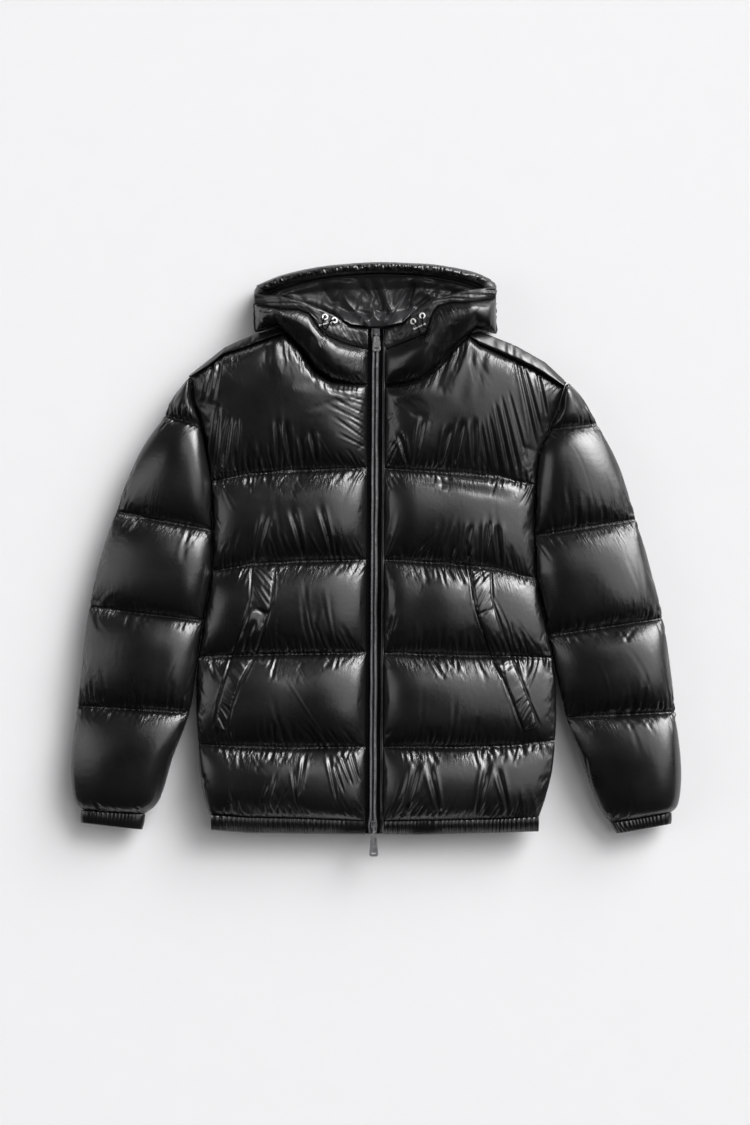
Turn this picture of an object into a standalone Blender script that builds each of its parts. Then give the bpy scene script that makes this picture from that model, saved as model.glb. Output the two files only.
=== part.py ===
"""A hooded puffer jacket lying flat with its front up, as padded panels, tubes, zip and trim.

Frame: X to the viewer's right (the wearer's left), Y from the hem to the hood, Z up from the
surface that it lies on. The origin is under the middle of the jacket. The tables are in millimetres.
"""

import math
from collections import namedtuple

import bmesh
import bpy
import numpy as np
from mathutils import Matrix, Vector
from mathutils.bvhtree import BVHTree

# ---------------------------------------------------------------- driving dimensions, millimetres

MM = 0.001
SEAM_GAP = 0.3  # between pieces that are sewn or rest together
LAYER_Z = 34.0  # where the front layer lies on the back layer
LAYER_GAP = 0.4  # from that level to each layer
SLEEVE_GAP = 1.1  # between the body's side and the sleeve that lies along it
SEAM_LOFT = 8.0  # padding left under a quilt seam
EDGE_LOFT = 3.0  # padding left at a side seam or armhole
GROOVE = 12.0  # rise of the underside at a quilt seam
NOTCH = 2.0  # how far an outline turns in at a quilt seam
PUCKER = 1.6  # height of the gathers beside a quilt seam

HOLLOW_HALF = 1.5  # half the height of the flattened hollow in a sleeve and a cuff
CUFF_LOFT = 10.0  # from a cuff's middle level to its top
CUFF_WAVES = 12
HEM_TOP_Y = -358.0  # where the hem bands start to droop
HEM_LOFT = 9.0
HEM_WAVES = 24  # under each front
HEM_DROOP = 0.35  # slope of the hem band, down towards its free edge
HEM_INSET = 2.0  # from the body's outline to the band's end
GATHER = 0.9  # height of an elastic gather
STRIP_LOFT, STRIP_ROUND, STRIP_FALL = 7.2, 5.0, 4.0  # a shoulder strip's padding, crown and fall

HOOD_FLOOR = 22.0
RIM_WIDTH, RIM_HEIGHT, RIM_LIFT = 15.0, 14.0, 1.2
RIM_WAVES = 40
RIM_SPAN = (0.0, 0.965)  # how much of the arc between the hood's corners it covers
CHIN_RISE = 15.0  # how far the inner face lifts over the neck opening
CHIN_CROWN = 27.0
BAND_LOFT = 11.0
LINING_THICK, LINING_LIFT, LINING_INSET = 2.0, 1.2, 2.2
LINING_TOP = 3.5  # from the rim's level down to the lining's edge
LINING_FRONT = (-106.0, 108.0, 342.0)  # its edge under the neck: x at both ends, and y

ZIP_TOP_Y, ZIP_BOTTOM_Y = 323.0, -383.0
ZIP_TOP_X, ZIP_BOTTOM_X = 0.6, -3.6  # the zip leans a little
ZIP_CHANNEL = 12.2  # from the zip's middle to each front's edge
ZIP_Z = 40.0  # underside of the tapes
TAPE_THICK = 1.2
CHAIN_WIDTH, CHAIN_THICK, CHAIN_SINK = 6.0, 3.4, 0.8

SLIDER_SIZE = (9.0, 13.0, 1.6)
SLIDER_TOP = ZIP_Z - CHAIN_SINK + CHAIN_THICK + SEAM_GAP + SLIDER_SIZE[2]
POST_SIZE = (1.6, 3.0, 6.2)
POST_X = 2.6  # from the slider's middle to each post that holds the pull
POST_SINK = 0.8  # how deep the posts are set in the plate
HINGE_BACK = 1.5  # from the slider's middle down to the pull's axis
HINGE_LIFT = 4.0  # from a slider's top plate to its pull's axis
TOP_SLIDER_Y, BOTTOM_SLIDER_Y = 318.0, -372.0
Pull = namedtuple("Pull", "width length neck droop")  # droop in degrees, under the level
TOP_PULL = Pull(11.5, 24.0, 3.0, 9.0)
BOTTOM_PULL = Pull(12.5, 42.8, 14.0, 10.0)
PULL_THICK = 1.8
PULL_EYE = 0.9  # from the axis to the pull's near end
PULL_CORNER = 2.0
SLOT_WIDTH, SLOT_NEAR, SLOT_FAR = 6.0, 5.4, 3.2  # the slot's edges, from the pull's far end

EYELET_RADIUS, EYELET_HOLE, EYELET_THICK = 4.5, 2.4, 1.6
TOGGLE_LENGTH, TOGGLE_RADIUS, TOGGLE_FLANGE = 18.0, 1.1, 1.8
EYELET_LIFT, TOGGLE_LIFT = 1.15, 4.0
CORD_DIAMETER = 1.8

# ---------------------------------------------------------------- tables, millimetres

# The body's outline on each side: armhole, the stretch beside the sleeve, then the free side.
SidePoint = namedtuple("SidePoint", "y right_x left_x")  # the wearer's right and left
SIDES = (
    SidePoint(256, -260.7, 268.5),
    SidePoint(222, -256.4, 257.4),
    SidePoint(188, -243.6, 243.9),
    SidePoint(150, -236.8, 228.4),
    SidePoint(112, -231.3, 223.6),
    SidePoint(42, -228.5, 220.9),
    SidePoint(-20, -230.6, 223.0),
    SidePoint(-84, -241.1, 236.3),
    SidePoint(-137, -249.5, 246.1),
    SidePoint(-166, -252.3, 251.7),
    SidePoint(-220, -252.6, 253.1),
    SidePoint(-258, -250.9, 252.0),
    SidePoint(-298, -247.6, 246.8),
    SidePoint(-337, -241.1, 237.0),
    SidePoint(-358, -235.5, 230.4),
    SidePoint(-381, -231.3, 230.0),
)

# Quilt seams of the two fronts, top to bottom, and the height of the baffle below each.
Quilt = namedtuple("Quilt", "name right_side_y right_mid_y left_side_y left_mid_y zip_y crown")
QUILTS = (
    Quilt("chest", 110.6, 125.3, 105.0, 121.8, 128.8, 40),
    Quilt("waist", -15.4, -2.1, -28.0, -5.6, 0.5, 42),
    Quilt("pocket", -137.2, -131.5, -137.2, -134.0, -130.2, 42),
    Quilt("low", -258.3, -263.2, -254.8, -262.5, -261.8, 37),
    Quilt("hem", -357.0, -361.5, -359.8, -364.0, -365.4, 0),
)
YOKE_CROWN = 37

# Where each front meets the shoulder strip and the chin panel, from the armhole to the zip.
RIGHT_NECK = (
    (-260.7, 256.2), (-235.5, 270.5), (-214.5, 287.5), (-185.1, 296.5), (-128.9, 317.5),
    (-106.5, 294.4), (-86.7, 265.5), (-61.8, 249.5), (-37.0, 246.2), (-12.1, 245.7),
)
LEFT_NECK = (
    (263.9, 242.0), (220.9, 268.1), (185.9, 284.2), (145.0, 302.0), (129.9, 314.5),
    (107.4, 294.6), (87.4, 270.5), (62.3, 252.5), (37.3, 245.2), (12.3, 243.6),
)
# The shoulder's outer edge, where the front layer turns over to the back.
RIGHT_SHOULDER = (
    (-263.5, 258.5), (-236.9, 279.3), (-213.1, 298.2), (-192.1, 308.0), (-169.7, 317.0),
    (-136.1, 326.0), (-128.9, 319.3),
)
LEFT_SHOULDER = (
    (267.0, 249.5), (237.7, 277.0), (197.1, 300.0), (146.7, 320.6), (141.0, 320.9), (129.9, 316.2),
)
BACK_NECK = ((-126.6, 322.0), (-60.0, 318.0), (0.0, 316.5), (60.0, 317.0), (128.0, 318.6))

# The upper edge of each chin panel, which is the lower edge of the drawcord band, side to zip.
RIGHT_CHIN = (
    (-171.1, 359.1), (-133.3, 351.0), (-109.5, 350.0), (-94.1, 344.4), (-80.1, 324.8),
    (-73.1, 316.4), (-50.7, 305.9), (-11.8, 295.0),
)
LEFT_CHIN = (
    (168.3, 367.6), (122.9, 359.5), (104.7, 359.8), (86.0, 354.5), (79.0, 345.0),
    (74.5, 328.0), (66.9, 314.5), (50.1, 309.4), (12.6, 295.4),
)
# The lower edge of each chin panel, over the shoulder and then along the front's neck.
RIGHT_CHIN_LOW = (
    (-168.3, 322.5), (-150.0, 328.0), (-138.0, 330.0), (-127.6, 319.6), (-105.2, 296.4),
    (-85.7, 267.6), (-61.2, 251.2), (-36.8, 247.6), (-12.1, 247.2),
)
LEFT_CHIN_LOW = (
    (168.3, 319.5), (152.3, 324.0), (139.0, 326.5), (128.6, 316.4), (106.1, 296.5),
    (86.5, 272.4), (61.8, 254.2), (37.0, 246.8), (12.3, 245.2),
)
# The edge of the face opening along each band.
RIGHT_BAND = (
    (-171.2, 374.0), (-158.0, 372.5), (-140.0, 371.0), (-104.3, 361.8), (-80.1, 352.0),
    (-54.9, 340.0), (-35.6, 329.0), (-11.6, 326.2),
)
LEFT_BAND = (
    (166.8, 384.0), (153.0, 382.0), (129.0, 378.0), (99.0, 370.0), (78.0, 362.9),
    (59.0, 352.0), (48.2, 342.3), (36.0, 331.0), (12.8, 326.2),
)

# A sleeve's two edges. Whole numbers along are quilt seams: 0 the shoulder tip, 5 the cuff seam.
Sleeve = namedtuple("Sleeve", "along outer_x outer_y inner_x inner_y mid_z crown")
RIGHT_SLEEVE = (
    Sleeve(0.0, -271.0, 246.5, -262.0, 251.0, 33, 24),
    Sleeve(0.5, -285.9, 226.8, -254.0, 219.0, 33, 26),
    Sleeve(1.0, -298.5, 203.0, -243.0, 187.0, 33, 30),
    Sleeve(1.5, -334.9, 145.6, -234.1, 126.0, 33, 36),
    Sleeve(2.0, -367.1, 67.2, -228.5, 42.0, 33, 38),
    Sleeve(2.5, -388.1, 0.0, -231.3, -23.8, 33, 38),
    Sleeve(3.0, -403.5, -65.8, -241.1, -85.4, 33, 38),
    Sleeve(3.5, -412.9, -133.0, -251.5, -147.0, 32, 38),
    Sleeve(4.0, -421.0, -204.4, -262.1, -214.2, 31, 38),
    Sleeve(4.5, -428.6, -282.8, -284.5, -275.8, 29, 37),
    Sleeve(4.8, -425.2, -334.0, -304.8, -336.8, 26, 33),
    Sleeve(5.0, -413.7, -351.6, -326.4, -357.0, 24, 28),
)
LEFT_SLEEVE = (
    Sleeve(0.0, 275.0, 241.5, 268.0, 240.5, 33, 24),
    Sleeve(0.5, 290.5, 226.0, 257.0, 212.0, 33, 26),
    Sleeve(1.0, 311.9, 190.4, 243.3, 182.0, 33, 30),
    Sleeve(1.5, 341.3, 131.6, 225.8, 131.6, 33, 36),
    Sleeve(2.0, 366.5, 57.4, 221.0, 33.6, 33, 38),
    Sleeve(2.5, 387.5, -18.2, 225.1, -39.2, 33, 38),
    Sleeve(3.0, 403.6, -81.2, 241.9, -106.4, 33, 38),
    Sleeve(3.5, 412.3, -140.0, 253.0, -162.4, 32, 38),
    Sleeve(4.0, 421.8, -212.8, 267.1, -221.2, 31, 38),
    Sleeve(4.5, 428.6, -292.0, 288.1, -284.0, 29, 37),
    Sleeve(4.8, 425.3, -341.0, 313.3, -347.4, 26, 33),
    Sleeve(5.0, 414.5, -354.8, 330.7, -369.6, 24, 28),
)
Cuff = namedtuple("Cuff", "along outer_x outer_y inner_x inner_y mid_z")
RIGHT_CUFF = (
    Cuff(0.0, -415.4, -351.9, -325.1, -357.5, 24),
    Cuff(0.5, -416.4, -361.0, -326.3, -369.0, 22),
    Cuff(1.0, -416.1, -369.6, -329.3, -379.4, 20),
)
LEFT_CUFF = (
    Cuff(0.0, 415.5, -355.1, 330.1, -370.2, 24),
    Cuff(0.5, 416.2, -363.6, 333.6, -378.0, 22),
    Cuff(1.0, 415.5, -371.0, 338.5, -385.0, 20),
)

# The pocket welts, top to bottom: the edge towards the side and the edge towards the zip.
Welt = namedtuple("Welt", "side_x side_y zip_x zip_y")
RIGHT_WELT = (
    Welt(-173.9, -7.0, -141.7, -16.8),
    Welt(-175.3, -54.6, -145.9, -63.0),
    Welt(-190.7, -103.6, -158.5, -103.6),
    Welt(-201.9, -133.0, -168.3, -131.6),
    Welt(-213.1, -172.2, -189.3, -172.2),
    Welt(-221.5, -201.6, -200.5, -203.0),
    Welt(-225.7, -229.6, -210.3, -238.8),
)
LEFT_WELT = (
    Welt(160.7, -14.0, 131.3, -15.4),
    Welt(162.3, -57.0, 138.0, -66.2),
    Welt(177.1, -100.8, 150.9, -103.6),
    Welt(190.1, -134.4, 160.7, -134.4),
    Welt(201.9, -163.8, 177.5, -166.6),
    Welt(213.8, -196.0, 189.3, -196.0),
    Welt(228.3, -231.8, 205.3, -239.2),
)
WELT_LOFT = 6.0
WELT_PINCH = 0.55  # of its loft, where the pocket seam crosses it
WELT_SINK = 5.0  # how deep a welt starts, before it is trimmed to the panel's own surface

# Round the hood, from the wearer's right of the neck clockwise: outline, inner edge and rim height.
HoodStation = namedtuple("HoodStation", "name outer_x outer_y inner_x inner_y rim_z")
HOOD = (
    HoodStation("neck right", -136.0, 329.5, -116.0, 339.0, 34),
    HoodStation("side right low", -168.8, 321.5, -150.0, 334.0, 34),
    HoodStation("side right", -172.5, 345.0, -156.0, 348.0, 34),
    HoodStation("side right high", -171.8, 366.0, -155.0, 361.0, 34),
    HoodStation("corner right", -168.7, 385.0, -152.0, 373.0, 34),
    HoodStation("arc right", -133.0, 398.5, -126.0, 383.0, 48),
    HoodStation("arc right high", -84.3, 408.8, -81.0, 394.0, 58),
    HoodStation("arc right middle", -42.0, 413.4, -41.0, 399.0, 61),
    HoodStation("arc middle", 1.0, 415.8, 1.0, 401.0, 62),
    HoodStation("arc left middle", 42.0, 414.8, 41.0, 400.0, 61),
    HoodStation("arc left high", 84.0, 412.4, 81.0, 397.0, 58),
    HoodStation("arc left", 135.0, 403.6, 127.0, 388.0, 48),
    HoodStation("corner left", 167.0, 390.6, 151.0, 377.0, 34),
    HoodStation("side left high", 169.1, 368.0, 153.0, 363.0, 34),
    HoodStation("side left", 169.1, 343.0, 153.0, 348.0, 34),
    HoodStation("side left low", 168.6, 319.5, 148.0, 333.0, 34),
    HoodStation("neck left", 141.0, 325.5, 118.0, 337.0, 34),
    HoodStation("neck left middle", 60.0, 321.5, 60.0, 332.0, 34),
    HoodStation("neck middle", 0.0, 319.8, 0.0, 330.5, 34),
    HoodStation("neck right middle", -60.0, 322.0, -60.0, 333.0, 34),
)
# How the hood's wall is made up, from under it, up its outside and down into the face opening:
# share of the way from the outline to the inner edge, extra inset, and share of the rim's height.
HoodLevel = namedtuple("HoodLevel", "across inset height")
HOOD_LEVELS = (
    HoodLevel(0.0, 12.0, 0.0),
    HoodLevel(0.0, 4.0, 0.14),
    HoodLevel(0.0, 0.0, 0.45),
    HoodLevel(0.0, 1.5, 0.78),
    HoodLevel(0.3, 0.0, 0.97),
    HoodLevel(0.7, 0.0, 1.0),
    HoodLevel(1.0, 0.0, 0.94),
)
# The lining's main folds, seen in the face opening: a ridge or a trough along a line.
Fold = namedtuple("Fold", "name x0 y0 x1 y1 width height")
LINING_FOLDS = (
    Fold("soft ridge right", -84, 372, -38, 398, 20, 12),
    Fold("soft ridge down", -38, 398, 4, 346, 18, 14),
    Fold("lower ridge right", -104, 362, -52, 352, 14, 8),
    Fold("middle trough", -2, 396, 12, 352, 14, -8),
    Fold("leaf ridge left", 44, 392, 28, 344, 16, 12),
    Fold("side ridge left", 66, 388, 108, 366, 20, 9),
)

Eyelet = namedtuple("Eyelet", "name x y")
EYELETS = (
    Eyelet("eyelet_1", -71.8, 339.4),
    Eyelet("eyelet_2", -58.5, 335.0),
    Eyelet("eyelet_3", 51.8, 333.3),
    Eyelet("eyelet_4", 64.5, 341.2),
)
Toggle = namedtuple("Toggle", "name x0 y0 x1 y1")
TOGGLES = (
    Toggle("toggle_right", -79.8, 327.6, -62.4, 331.8),
    Toggle("toggle_left", 52.3, 322.4, 68.8, 329.8),
)

# Each cord's route from one eyelet to the other: plan position, and lift off the cloth under it.
OVER = -1.0  # in place of a lift: over the toggle
CORD_STOPS = {
    "right": (
        (-71.8, 339.4, 2.6), (-72.0, 338.3, 4.8), (-73.2, 334.8, 6.6), (-73.8, 329.2, OVER),
        (-72.6, 324.0, 5.0), (-68.8, 324.6, 5.0), (-68.2, 330.4, OVER), (-63.4, 334.6, 7.2),
        (-59.2, 335.2, 5.4), (-58.5, 335.2, 2.8),
    ),
    "left": (
        (51.8, 333.3, 2.6), (52.4, 332.3, 4.8), (54.6, 329.6, 6.6), (58.4, 325.4, OVER),
        (60.2, 320.6, 5.0), (61.2, 315.6, 3.4), (66.4, 312.9, 3.4), (72.4, 315.6, 3.4),
        (73.2, 321.2, 4.0), (68.6, 324.8, 6.0), (64.0, 328.0, OVER), (64.9, 336.0, 6.6),
        (64.6, 340.2, 4.8), (64.5, 341.2, 2.6),
    ),
}
LOOP_DIAMETER = 4.0
LOOP_STOPS = (
    (-12.0, 343.5, 2.6), (-9.0, 347.5, 3.6), (-3.0, 349.5, 4.5), (3.5, 347.5, 3.6), (7.0, 343.5, 2.6),
)
CORD_POINTS = {"right": 20, "left": 30}

# The free edge of the hem bands, side by side from the wearer's right.
HEM_LOW = {
    -1: ((-231.3, -379.4), (-176.7, -383.6), (-15.9, -385.6)),
    1: ((8.5, -385.0), (60.0, -386.2), (230.0, -381.2)),
}

# ---------------------------------------------------------------- sampling

# Rows of a quilted baffle, as shares of the way from one seam to the next.
BAFFLE_STEPS = (0.0, 0.07, 0.2, 0.5, 0.8, 0.93)
YOKE_STEPS = (0.0, 0.05, 0.14, 0.32, 0.5, 0.68, 0.84, 0.95)
SLEEVE_STEPS = (0.0, 0.09, 0.24, 0.5, 0.76, 0.91)
FRONT_COLUMNS = (0.0, 0.02, 0.07, 0.15, 0.24, 0.34, 0.44, 0.53, 0.62, 0.7, 0.8, 0.9, 0.96, 1.0)
SHOULDER_COLUMNS = 8  # how many of a front's columns its shoulder strip covers
PLAIN_COLUMNS = (0.0, 0.07, 0.15, 0.24, 0.34, 0.44, 0.53, 0.62, 0.7, 0.8, 0.9, 1.0)
SIDE_ROLL = 0.24  # share of a front's width that rounds down to its side
ZIP_ROLL = 0.4
FREE_SIDE = (-150.0, -190.0)  # over this stretch of y the body's side comes free of the sleeve
# A quilt seam's course across a front: share of the way, and share of the way to its middle level.
SEAM_COURSE = ((0.0, 0.0), (0.25, 0.7), (0.55, 1.0))
PUCKERED = (0.05, 0.95)  # the stretch of a seam that has gathers
BACK_COLUMNS = (0.0, 0.01, 0.04, 0.1, 0.25, 0.42, 0.58, 0.75, 0.9, 0.96, 0.99, 1.0)
BACK_TOP_COLUMNS = (0.0, 0.12, 0.25, 0.42, 0.58, 0.75, 0.88, 1.0)
BACK_ROLL = 0.1
FLAT_FROM = 0.2  # share of a baffle on the underside that lifts towards each seam
STRIP_STEPS = (0.0, 0.25, 0.55, 0.8, 1.0)
HEM_STEPS = ((0.0, 0.85), (0.25, 1.15), (0.75, 1.1), (1.0, 0.7))  # share down, share of the loft
HEM_BACK_COLUMNS, HEM_PLAIN_STEP = 24, 6
SECTION_TOP = (-1.0, -0.96, -0.84, -0.64, -0.36, 0.0, 0.36, 0.64, 0.84, 0.96, 1.0)
SECTION_UNDER = (0.95, 0.8, 0.62, -0.62, -0.8, -0.95)
HOLLOW_REACH = 0.8  # of a sleeve's half width
HOLLOW_TOP = (-0.8, -0.4, 0.0, 0.4, 0.8)
HOLLOW_UNDER = (0.4, 0.0, -0.4)
UNDER_FLAT = 0.38  # share of a sleeve's half width that rounds up from the surface
BESIDE_BODY_Y = -175.0  # down to here a sleeve's inner edge lies along the body
CUFF_STEPS = ((0.0, 0.85), (0.3, 1.05), (0.75, 1.05), (1.0, 0.85))  # share down, share of the loft
CUFF_UNDER = (0.94, 0.7, 0.0, -0.7, -0.94)
CHIN_STEPS = (0.0, 0.08, 0.22, 0.5, 0.78, 0.92, 1.0)
CHIN_SIDE_ROLL, CHIN_ZIP_ROLL = 0.14, 0.35
CHIN_EDGE = 0.02  # share of a chin panel between its side and its next column
BAND_STEPS = (0.0, 0.25, 0.6, 1.0)
BAND_END = 0.55  # of a band's loft, at its ends
HOOD_POINTS = 44
RIM_SECTION = ((0.0, 0.25), (0.1, 0.75), (0.45, 1.0), (0.85, 0.8), (1.0, 0.3))
LINING_COLUMNS, LINING_ROWS = 22, 9
ZIP_ROWS = 6
LOOP_POINTS = 10


def roll(share):
    """A quarter round: 0 at the edge, 1 from share 1 on."""
    return math.sqrt(max(0.0, 1 - (1 - min(max(share, 0.0), 1.0)) ** 2))


def loft(t):
    """How full a baffle is, t of the way from one quilt seam to the next."""
    return (1 - abs(2 * t - 1) ** 2.3) ** 0.6 if 0 < t < 1 else 0.0


def rest(t):
    """How flat a baffle's underside lies: 1 where it touches the surface."""
    return roll(min(t, 1 - t) / FLAT_FROM)


def smoothstep(low, high, value):
    share = min(max((value - low) / (high - low), 0.0), 1.0)
    return share * share * (3 - 2 * share)


def on_line(points, x):
    """The y of a line through points, at x."""
    ordered = sorted(points)
    return float(np.interp(x, [p[0] for p in ordered], [p[1] for p in ordered]))


def side_x(side, y):
    """The body's outline on the wearer's right (-1) or left (1)."""
    ordered = sorted(SIDES)
    values = [p.right_x if side < 0 else p.left_x for p in ordered]
    return float(np.interp(y, [p.y for p in ordered], values))


def zip_x(y):
    share = (y - ZIP_BOTTOM_Y) / (ZIP_TOP_Y - ZIP_BOTTOM_Y)
    return ZIP_BOTTOM_X + share * (ZIP_TOP_X - ZIP_BOTTOM_X)


def through(values, places, place):
    """A smooth curve through the values at their places, read at one place (Catmull-Rom)."""
    index = int(np.searchsorted(places, place, side="right")) - 1
    index = min(max(index, 0), len(places) - 2)
    t = (place - places[index]) / (places[index + 1] - places[index])
    before = values[max(index - 1, 0)]
    start, end = values[index], values[index + 1]
    after = values[min(index + 2, len(values) - 1)]
    slope_in, slope_out = (end - before) / 2, (after - start) / 2
    return (
        (2 * t**3 - 3 * t**2 + 1) * start
        + (t**3 - 2 * t**2 + t) * slope_in
        + (3 * t**2 - 2 * t**3) * end
        + (t**3 - t**2) * slope_out
    )


def read_table(rows, column, place):
    """One column of a sleeve's or cuff's table, at a place along it."""
    places = [row.along for row in rows]
    return through([getattr(row, column) for row in rows], places, place)


# ---------------------------------------------------------------- building meshes


def material(name, colour, roughness, metallic=0.0):
    made = bpy.data.materials.new(name)
    made.use_nodes = True
    shader = made.node_tree.nodes["Principled BSDF"]
    shader.inputs["Base Color"].default_value = (*colour, 1.0)
    shader.inputs["Roughness"].default_value = roughness
    shader.inputs["Metallic"].default_value = metallic
    made.diffuse_color = (*colour, 1.0)
    return made


def clear_scene():
    for found in list(bpy.data.objects):
        bpy.data.objects.remove(found, do_unlink=True)


def new_collection(name):
    made = bpy.data.collections.new(name)
    bpy.context.scene.collection.children.link(made)
    return made


def add_object(name, mesh, collection, finish, smooth=False):
    mesh.name = name
    made = bpy.data.objects.new(name, mesh)
    mesh.materials.clear()
    mesh.materials.append(finish)
    if smooth:
        mesh.shade_smooth()
        mesh.set_sharp_from_angle(angle=math.radians(40))
    collection.objects.link(made)
    return made


def mesh_from(points, faces):
    """A mesh from points in millimetres, with its faces turned outwards."""
    mesh = bpy.data.meshes.new("mesh")
    mesh.from_pydata([tuple(c * MM for c in point) for point in points], [], faces)
    shape = bmesh.new()
    shape.from_mesh(mesh)
    bmesh.ops.triangulate(shape, faces=shape.faces)
    bmesh.ops.recalc_face_normals(shape, faces=shape.faces)
    shape.to_mesh(mesh)
    shape.free()
    return mesh


def zip_chains(first, second):
    """Triangles between two chains of points that start and end side by side."""
    faces = []
    i = j = 0
    while i < len(first) - 1 or j < len(second) - 1:
        ahead = (i + 1) / (len(first) - 1) if i < len(first) - 1 else 2.0
        behind = (j + 1) / (len(second) - 1) if j < len(second) - 1 else 2.0
        if ahead <= behind:
            faces.append((first[i], first[i + 1], second[j]))
            i += 1
        else:
            faces.append((first[i], second[j + 1], second[j]))
            j += 1
    return faces


def pad_mesh(upper, lower):
    """A closed pad between an upper and a lower grid of points with the same number of rows."""
    rows, across, below = len(upper), len(upper[0]), len(lower[0])
    points = [point for row in upper for point in row] + [point for row in lower for point in row]

    def up(row, column):
        return row * across + column

    def low(row, column):
        return rows * across + row * below + column

    faces = []
    for r in range(rows - 1):
        faces += [(up(r, c), up(r + 1, c), up(r + 1, c + 1), up(r, c + 1)) for c in range(across - 1)]
        faces += [(low(r, c), low(r, c + 1), low(r + 1, c + 1), low(r + 1, c)) for c in range(below - 1)]
        faces.append((up(r, 0), low(r, 0), low(r + 1, 0), up(r + 1, 0)))
        faces.append((up(r, across - 1), up(r + 1, across - 1), low(r + 1, below - 1), low(r, below - 1)))
    for r in (0, rows - 1):
        edge_up = [up(r, c) for c in range(across)]
        edge_low = [low(r, c) for c in range(below)]
        if r == 0:
            faces += zip_chains(edge_up, edge_low)
        else:
            faces += [(a, c, b) for a, b, c in zip_chains(edge_up, edge_low)]
    return mesh_from(points, faces)


def tube_mesh(outer, inner):
    """A tube with a hollow right through: rings of outer points, and as many rings of inner points."""
    around, within, count = len(outer[0]), len(inner[0]), len(outer)
    points = [p for ring in outer for p in ring] + [p for ring in inner for p in ring]
    faces = []
    for r in range(count - 1):
        for c in range(around):
            d = (c + 1) % around
            faces.append((r * around + c, (r + 1) * around + c, (r + 1) * around + d, r * around + d))
        base = count * around
        for c in range(within):
            d = (c + 1) % within
            near, far = base + r * within, base + (r + 1) * within
            faces.append((near + c, near + d, far + d, far + c))
    for r in (0, count - 1):
        ring_out = [r * around + c for c in range(around)] + [r * around]
        base = count * around + r * within
        ring_in = [base + c for c in range(within)] + [base]
        faces += zip_chains(ring_out, ring_in)
    return mesh_from(points, faces)


# ---------------------------------------------------------------- fronts and back


def baffle_steps(index):
    return BAFFLE_STEPS if index else YOKE_STEPS


def front_lines(side):
    """The front's seams from top to bottom: (line through points from side to zip, baffle height)."""
    lines = [(RIGHT_NECK if side < 0 else LEFT_NECK, YOKE_CROWN)]
    for quilt in QUILTS:
        side_y = quilt.right_side_y if side < 0 else quilt.left_side_y
        mid_y = quilt.right_mid_y if side < 0 else quilt.left_mid_y
        start = side_x(side, side_y)
        end = zip_x(quilt.zip_y) + side * ZIP_CHANNEL
        shape = [(share, side_y + level * (mid_y - side_y)) for share, level in SEAM_COURSE]
        shape.append((1.0, quilt.zip_y))
        lines.append((tuple((start + share * (end - start), y) for share, y in shape), quilt.crown))
    return lines


def between(above, below, share, t):
    """Plan position between two lines that run from the side to the zip."""
    top = above[0][0] + share * (above[-1][0] - above[0][0])
    bottom = below[0][0] + share * (below[-1][0] - below[0][0])
    y = (1 - t) * on_line(above, top) + t * on_line(below, bottom)
    return top + t * (bottom - top), y


def front_rows(side):
    """For each row of a front: its two seams, the share between them, the baffle's height and steps."""
    lines = front_lines(side)
    rows = [
        (lines[n][0], lines[n + 1][0], t, lines[n][1], baffle_steps(n))
        for n in range(len(lines) - 1)
        for t in baffle_steps(n)
    ]
    return rows + [(lines[-2][0], lines[-1][0], 1.0, lines[-2][1], BAFFLE_STEPS)]


def notch(y, t):
    """How far the body's free side turns in near a quilt seam."""
    return NOTCH * smoothstep(*FREE_SIDE, y) * (1 - loft(t))


def gathered(t, steps, share, column):
    """1, -1 or 0: crest, dip or nothing, in the rows next to a seam."""
    if t not in (steps[1], steps[-1]) or not PUCKERED[0] < share < PUCKERED[1]:
        return 0
    return 1 if column % 2 else -1


def front_place(side, row, share):
    """Plan position of a point on a front, share of the way from its side to the zip."""
    above, below, t, _, _ = row
    x, y = between(above, below, share, t)
    edge_y = (1 - t) * above[0][1] + t * below[0][1]
    outline = side_x(side, edge_y) - side * notch(edge_y, t)
    x += (1 - share) * (outline - (1 - t) * above[0][0] - t * below[0][0])
    return x, y


def front_height(row, share, column):
    """Height of a front's outer surface: padding that falls away at its side and at the zip."""
    _, _, t, crown, steps = row
    at_side, at_zip = roll(share / SIDE_ROLL), roll((1 - share) / ZIP_ROLL)
    base = EDGE_LOFT + (SEAM_LOFT - EDGE_LOFT) * at_side
    height = base + (crown - base) * at_side * at_zip**0.8 * loft(t)
    return LAYER_Z + LAYER_GAP + height + PUCKER * gathered(t, steps, share, column)


def front_mesh(side):
    upper, lower = [], []
    for row in front_rows(side):
        upper.append(
            [
                (*front_place(side, row, share), front_height(row, share, n))
                for n, share in enumerate(FRONT_COLUMNS)
            ]
        )
        lower.append(
            [(*front_place(side, row, share), LAYER_Z + LAYER_GAP) for share in PLAIN_COLUMNS]
        )
    return pad_mesh(upper, lower)


def back_lines():
    top = RIGHT_SHOULDER[:-1] + BACK_NECK + tuple(reversed(LEFT_SHOULDER[:-1]))
    lines = [top]
    for quilt in QUILTS:
        lines.append(
            (
                (side_x(-1, quilt.right_side_y), quilt.right_side_y),
                (-2.0, quilt.zip_y + 2.0),
                (side_x(1, quilt.left_side_y), quilt.left_side_y),
            )
        )
    return lines


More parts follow.
